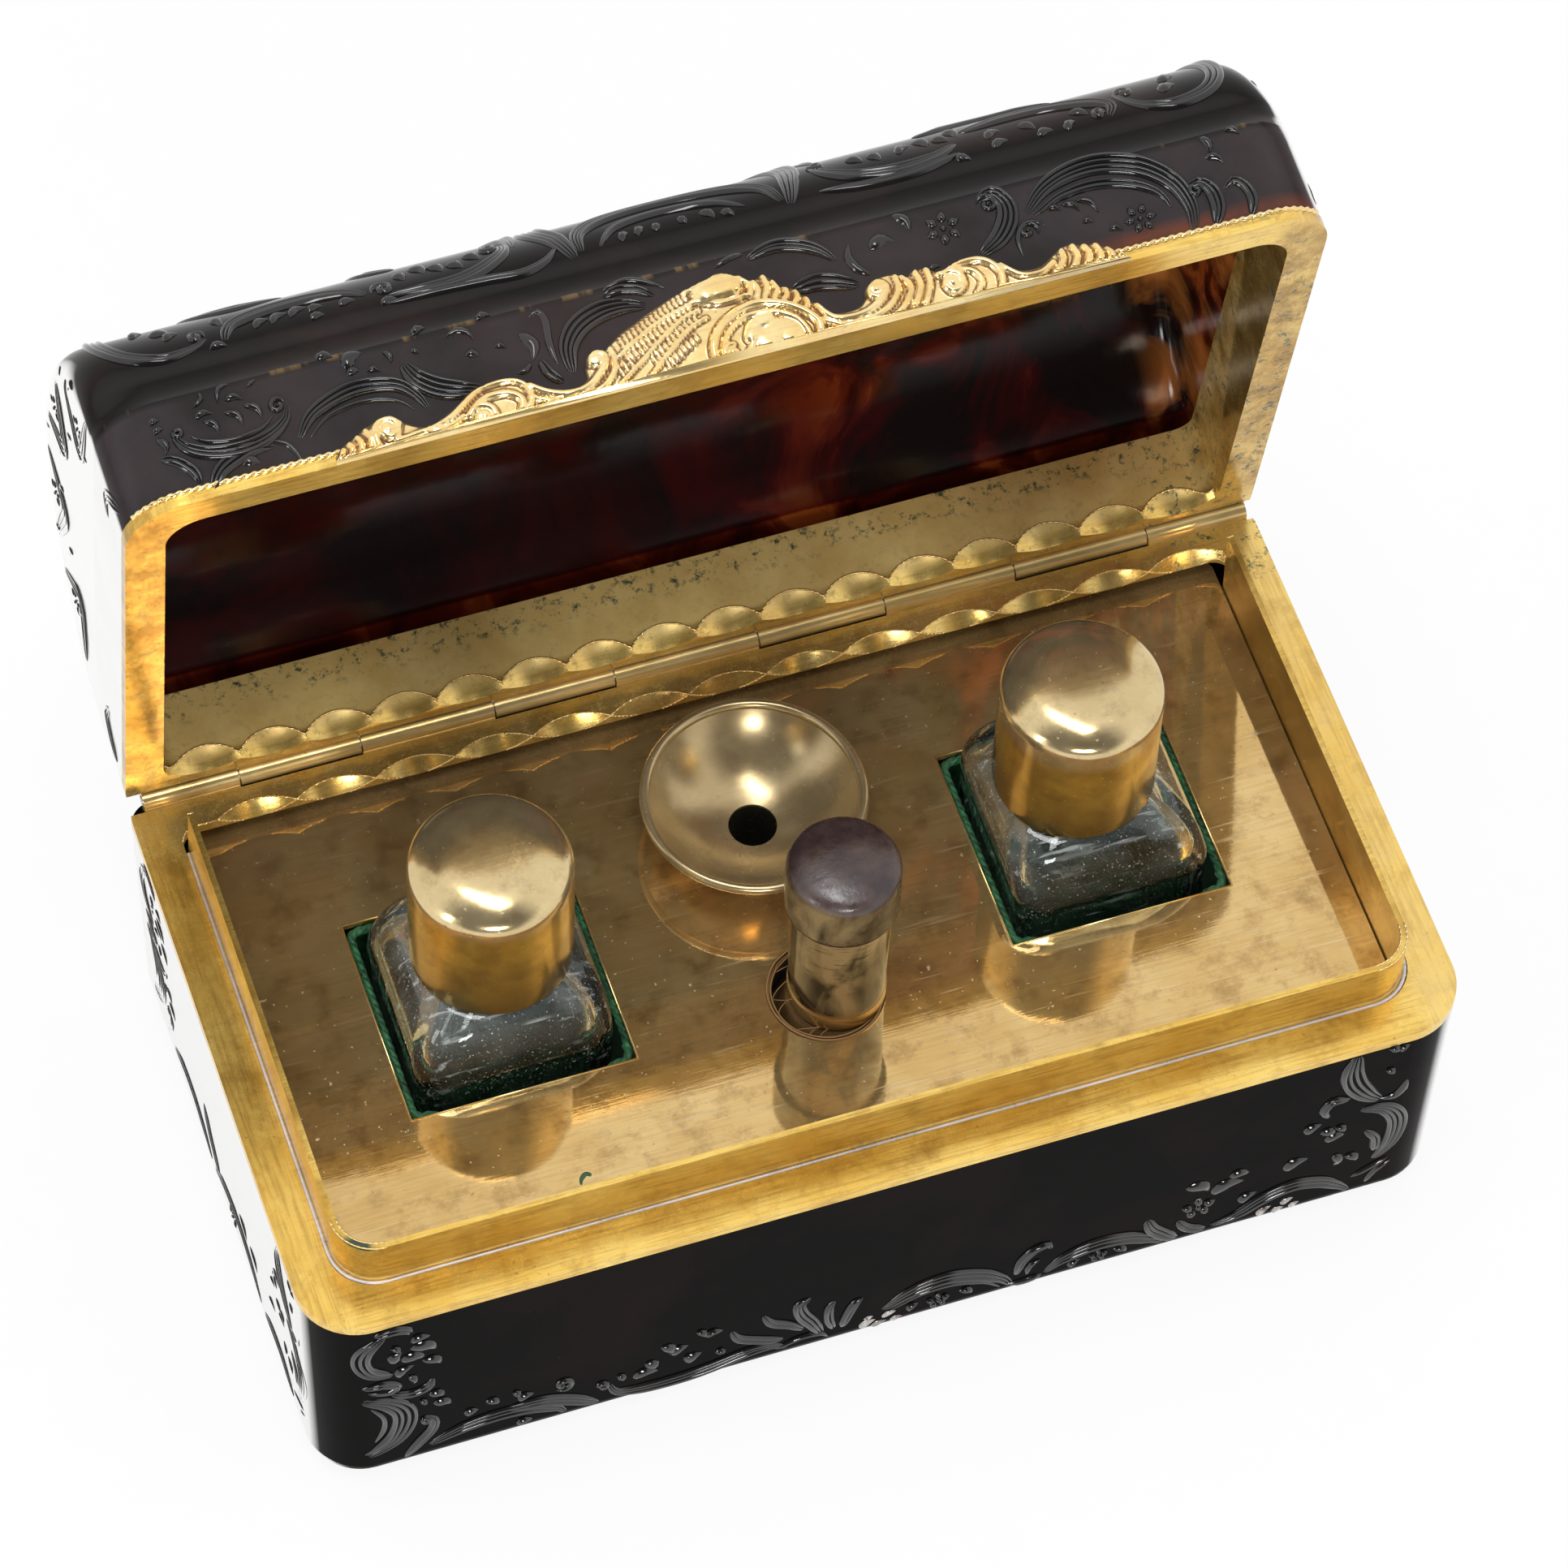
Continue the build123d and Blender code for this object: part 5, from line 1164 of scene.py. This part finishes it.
def well_pad(name, foot, node):
    """A padded square that the bottle's foot presses flat, with its sides drawn in."""
    x, y, half, low, high = span(node)
    steps, pull, thick = 36, 0.04, high.z - low.z
    verts, faces = [], []
    for upper in (True, False):
        for i in range(steps + 1):
            for j in range(steps + 1):
                u, v = 2 * i / steps - 1, 2 * j / steps - 1
                edge = max(abs(u), abs(v))
                u, v = u * (1 - pull * (1 - v * v)), v * (1 - pull * (1 - u * u))
                full = math.sqrt(max(0.0, 1 - max(0.0, (edge - 0.86) / 0.14) ** 2))
                pressed = max(abs(u), abs(v)) * half < foot + 0.15
                z = low.z + 0.5 * thick
                if upper:
                    z += thick * (0.5 if pressed else 0.62) * full
                    z += 0 if pressed else 0.04 * math.sin(i * 2.1) * math.sin(j * 2.1)
                else:
                    z -= 0.5 * thick * full
                verts.append((x + u * half, y + v * half, z))
    for i in range(steps):
        for j in range(steps):
            a = i * (steps + 1) + j
            quad = (a, a + steps + 1, a + steps + 2, a + 1)
            faces += [quad, tuple((steps + 1) ** 2 + k for k in reversed(quad))]
    made = piece(name, verts, faces, green_silk, "casket")
    bm = bmesh.new()
    bm.from_mesh(made.data)
    bmesh.ops.remove_doubles(bm, verts=bm.verts, dist=1e-6)
    bm.to_mesh(made.data)
    bm.free()
    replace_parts(made, node)


for side in ("left", "right"):
    x, y, half, _, high = span(f"{side}_silk_edging")
    radius = 0.4
    half -= radius
    cord = square_path(x, y, half, 0.9, 0.13)
    twisted_cord(f"{side}_silk_cord", cord, (x, y), half, high.z - radius, radius, 2.6, 3, f"{side}_silk_edging")
    x, y, half, *_ = span(f"{side}_well_lining")
    well_lining(f"{side}_silk_lining", square_path(x, y, half - 0.15, 0.4, 0.6), 0.0, green_silk,
                f"{side}_well_lining")
    well_pad(f"{side}_silk_pad", 8.6, f"{side}_well_pad")

well_lining("case_silk_lining", round_path(*CASE_HOLE, 5.25), 2.4, brown_silk, "case_well_lining")
x, y, half, *_ = span("funnel_well_lining")
well_lining("funnel_silk_lining", round_path(x, y, half - 0.15), 0.0, brown_silk, "funnel_well_lining")


def build_wadding():
    """Hair stuffing: a wad pressed flat under the case, and the loose hairs round the case's foot."""
    x, y, reach, low, high = span("case_well_stuffing")
    case_y, case_radius = CASE_HOLE[1], 3.95
    draw = random.Random(11)
    wad = Shape()
    verts = wad.verts
    rings, around = 20, 72
    for k in range(rings + 1):
        for u, v in round_path(x, y, reach * k / rings, around):
            beyond = math.hypot(u - CASE_X, v - case_y) - case_radius
            z = high.z
            if beyond > 0.1:
                z -= min(2.6, 3.2 * (beyond - 0.1)) - draw.uniform(-0.12, 0.12)
            verts.append((u, v, z - (0.5 if k == rings else 0)))
    verts += [(u, v, low.z + 0.4) for u, v, _ in verts[-around:]]
    wad.faces += lattice(0, rings + 2, around)
    wad.faces.append(tuple(reversed(range(len(verts) - around, len(verts)))))

    for k in range(9):
        begin, end = draw.uniform(95, 140), draw.uniform(290, 340)
        r, z = draw.uniform(4.5, 4.9), draw.uniform(23.2, 24.15)
        turns = [math.radians(begin + (end - begin) * i / 8) for i in range(9)]
        points = [(x + r * math.cos(a), y + r * math.sin(a), z + draw.uniform(-0.12, 0.12)) for a in turns]
        wad.tube(curve(points, 0.3), draw.uniform(0.06, 0.1), 5)
    for k in range(7):
        a = math.radians(150 + 17 * k + draw.uniform(-8, 8))
        b = a + draw.uniform(-0.5, 0.5)
        points = [
            (CASE_X + 4.0 * math.cos(b), case_y + 4.0 * math.sin(b), 23.9 + draw.uniform(0, 0.3)),
            (x + 4.2 * math.cos((a + b) / 2), y + 4.2 * math.sin((a + b) / 2), 23.7 + draw.uniform(-0.2, 0.3)),
            (x + 4.75 * math.cos(a), y + 4.75 * math.sin(a), 23.4 + draw.uniform(-0.3, 0.3)),
        ]
        wad.tube(curve(points, 0.3), draw.uniform(0.04, 0.07), 5)
    made = wad.make("case_well_wadding", hair, "casket", "horsehair")
    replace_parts(made, "case_well_stuffing")


build_wadding()


# A pale grey metal bead at the lip's foot, and fine edge beads in paler gilt, partly burnish and partly painted
# highlight
def burnish_and_highlight_beads(name, node, wanted, radius, body, slot, longest=3):
    """Thin beads along some of a node's sharp edges, in a paler gilt: partly burnish, partly painted highlight."""
    matrix = nodes[node].matrix_world
    beads = Shape()
    bm = bmesh.new()
    bm.from_mesh(nodes[node].data)
    bmesh.ops.remove_doubles(bm, verts=bm.verts, dist=1e-6)
    for edge in bm.edges:
        a, b = (matrix @ v.co / MM for v in edge.verts)
        if (len(edge.link_faces) == 2 and edge.calc_face_angle(0) >= 0.35 and wanted(a) and wanted(b)
                and (b - a).length <= longest):
            over = (b - a).normalized() * radius * 0.3
            beads.tube([a - over, b + over], radius, 6, aside=(0.3, 0.5, 0.8))
    bm.free()
    beads.make(name, thumb_gilt, body, slot)


def lip_path():
    """Points round the foot of the lip, from one rear end to the other, with the front corners rounded."""
    _, _, half, low, high = span("body_lip")
    half, front, rear, radius = half + 0.02, low.y - 0.02, high.y - 0.6, 3.9
    quarter = [math.pi / 2 * k / 9 for k in range(10)]
    points = [(half, rear), (half, front + radius)]
    points += [(half - radius + radius * math.cos(a), front + radius - radius * math.sin(a)) for a in quarter[1:]]
    points += [(x, front) for x in numpy.arange(half - radius - 1.0, -half + radius, -1.0)]
    points += [(-half + radius - radius * math.sin(a), front + radius - radius * math.cos(a)) for a in quarter]
    return points + [(-half, rear)]


bezel_top = span("body_bezel")[4].z
# A pale grey metal bead round the lip's foot.
bead = Shape()
bead.tube([(x, y, bezel_top - 0.16) for x, y in lip_path()], 0.2, 8)
bead.make("lip_solder", pale_seam, "casket", "gilt")


def milled_edge():
    """Fine rope cut along the front edge of the lid's bezel, below the shell."""
    straight, step, lay = HALF_LENGTH - FRONT_EDGE, 0.12, 0.75
    arc = [(straight + 5.23 * math.sin(math.radians(7 * k)), -21.68 - 5.25 * math.cos(math.radians(7 * k)))
           for k in range(9)]
    path = [(-x, y) for x, y in arc[:0:-1]] + [(x, -26.93) for x in numpy.arange(-straight, straight, step)] + arc
    fine = [path[0]]
    for a, b in zip(path[:-1], path[1:]):
        parts = max(1, round(math.dist(a, b) / step))
        fine += [(a[0] + (b[0] - a[0]) * k / parts, a[1] + (b[1] - a[1]) * k / parts) for k in range(1, parts + 1)]
    along = runs(fine)

    def thick(i, a):
        return 0.2 + 0.06 * math.sin(2 * a - 2 * math.pi * along[i] / lay)

    rope = Shape()
    rope.tube([(x, y, 27.86) for x, y in fine], thick, 8, ends=False)
    rope.verts = [opened(*v) for v in rope.verts]
    rope.make("lid_bezel_rope", thumb_gilt, "lid", "gilt")


milled_edge()


def lid_scallop(p):
    """True on the arcs where the lid's scallops meet its rear band."""
    y, z = p.y - HINGE_Y, p.z - HINGE_Z
    closed_y, closed_z = HINGE_Y + y * open_cos + z * open_sin, HINGE_Z - y * open_sin + z * open_cos
    return 20.8 < closed_y < 25.4 and 27.0 < closed_z < 33.5 and abs(p.x) < 46.5


def body_scallop(p):
    return 21.5 < p.y < 25.2 and 25.7 < p.z < 26.75 and abs(p.x) < 47


def deck_hole(p):
    return abs(p.z - DECK_TOP) < 0.03 and abs(abs(p.x) - 26.25) < 10.4 and -9.5 < p.y < 13


# Edge beads in paler gilt: partly burnish, partly painted highlight along edges that catch the light.
burnish_and_highlight_beads("lid_scallop_rims", "lid_bezel", lid_scallop, 0.09, "lid", "gilt")
burnish_and_highlight_beads("deck_hole_rims", "deck_plate", deck_hole, 0.09, "casket", "deck_brass", 25)
burnish_and_highlight_beads("lip_rim", "body_lip", lambda p: p.z > 31.6, 0.07, "casket", "gilt")
burnish_and_highlight_beads("body_scallop_rims", "body_bezel", body_scallop, 0.07, "casket", "gilt")

# A thread caught on the lip
line = curve([(-25.9, -22.2, 31.6), (-25.8, -21.95, 32.0), (-25.4, -21.8, 32.35), (-25.0, -21.95, 32.2)], 0.15)
thread = Shape()
thread.tube(line, lambda i, a: 0.2 * math.sin(math.pi * (0.15 + 0.7 * i / len(line))), 8, aside=(0.2, 1, 0.1))
thread.make("lip_thread", green_silk, "casket", "green_silk")

# Chips of pale shell between the carving
c = Carving(body_side(-1))
c.leaves(-2.4, 1.6, -1.2, 2.6, 0.5, -1.4, 1.2, -0.2, 1.9, 0.4, -0.6, 2.5, 0.6, 3.1, 0.35, 0.2, 1.5, 1.2, 1.9, 0.35,
    -2.2, 2.9, -1.4, 3.3, 0.25, 33.2, 1.6, 34.2, 2.8, 0.45, 34.4, 1.4, 35.4, 2, 0.4, 35.2, 2.4, 36.2, 3.2, 0.4,
    36, 1.5, 36.8, 2.2, 0.3, height=0.16)
c.make("nacre_bits", nacre, "casket")

# Camera at the photograph's angle
turn, rise, roll, away = -0.3713, 1.0037, 0.0541, 645.33
back = Vector((math.sin(turn) * math.cos(rise), -math.cos(turn) * math.cos(rise), math.sin(rise)))
right = Vector((math.cos(turn), math.sin(turn), 0))
up = back.cross(right)
side = right * math.cos(roll) + up * math.sin(roll)
over = up * math.cos(roll) - right * math.sin(roll)
spot = back * away + side * -1.0103 + over * 10.3468 + Vector((0, 0, 26.6))
lens = bpy.data.cameras.new("camera")
lens.lens, lens.sensor_width, lens.clip_start = 178.79, 36, 0.01
camera = bpy.data.objects.new("camera", lens)
camera.matrix_world = Matrix.Translation(spot * MM) @ Matrix((side, over, back)).transposed().to_4x4()
scene.collection.objects.link(camera)
scene.camera = camera
scene.view_settings.view_transform = "Standard"

# Floor: paper that looks white where it is seen, and keeps the casket's shadow
look = paper = stuff("paper", (0.3, 0.7, 4, 4, 0.6), (0.86, 0.86, 0.86), (0.90, 0.90, 0.90), (0.6, 3, 0.6),
                     (0.2, 0.05), rough=0.9)
rays = look.add("LightPath").outputs
seen = look.math("MAXIMUM", look.math("MAXIMUM", rays["Is Camera Ray"], rays["Is Glossy Ray"]),
                 rays["Is Transmission Ray"])
glow = look.fill(look.add("Emission"), 0, (1, 1, 1)).outputs[0]
blend = look.fill(look.add("MixShader"), 0, look.times(seen, 0.9), 1, look.bsdf.outputs[0], 2, glow)
look.put(look.out.inputs[0], blend.outputs[0])
ground = bpy.data.meshes.new("floor")
reach = 2.5
corners = [(-reach, -reach, 0), (reach, -reach, 0), (reach, reach, 0), (-reach, reach, 0)]
ground.from_pydata(corners, [], [(0, 1, 2, 3)])
floor = bpy.data.objects.new("floor", ground)
floor.data.materials.append(paper.mat)
scene.collection.objects.link(floor)

# World: white where the camera looks, a soft studio room for the rest
scene.world = bpy.data.worlds.new("room")
scene.world.use_nodes = True
room = Nodes(scene.world.node_tree)
ceiling = room.fill(room.add("VectorMath", operation="DOT_PRODUCT"), 0, room.add("TexCoord").outputs["Generated"])
ceiling.inputs[1].default_value = Vector((-0.25, -0.72, 0.64)).normalized()
sky = room.ramp(ceiling.outputs["Value"], 0.62, 1, 0.82, (0.07, 0.07, 0.075))
white = room.mix(room.add("LightPath").outputs["Is Camera Ray"], sky, (1, 1, 1))
backdrop = room.fill(room.add("Background"), 0, white, 1, 1.0)
room.fill(room.add("OutputWorld"), 0, backdrop.outputs[0])


def softbox(name, place, aim, size, power):
    lamp = bpy.data.lights.new(name, "AREA")
    lamp.shape = "RECTANGLE"
    lamp.size, lamp.size_y = size
    lamp.energy = power
    box = bpy.data.objects.new(name, lamp)
    box.location = place
    box.rotation_euler = (Vector(aim) - Vector(place)).to_track_quat("-Z", "Y").to_euler()
    scene.collection.objects.link(box)


softbox("top_box", (-0.06, -0.03, 0.9), (0, 0, 0.03), (0.5, 0.16), 2.6)
softbox("side_box", (-0.8, -0.3, 0.35), (0, 0, 0.03), (0.12, 0.5), 1.2)
softbox("front_box", (-0.2, -0.85, 0.42), (0, 0.03, 0.05), (0.3, 0.16), 3.2)
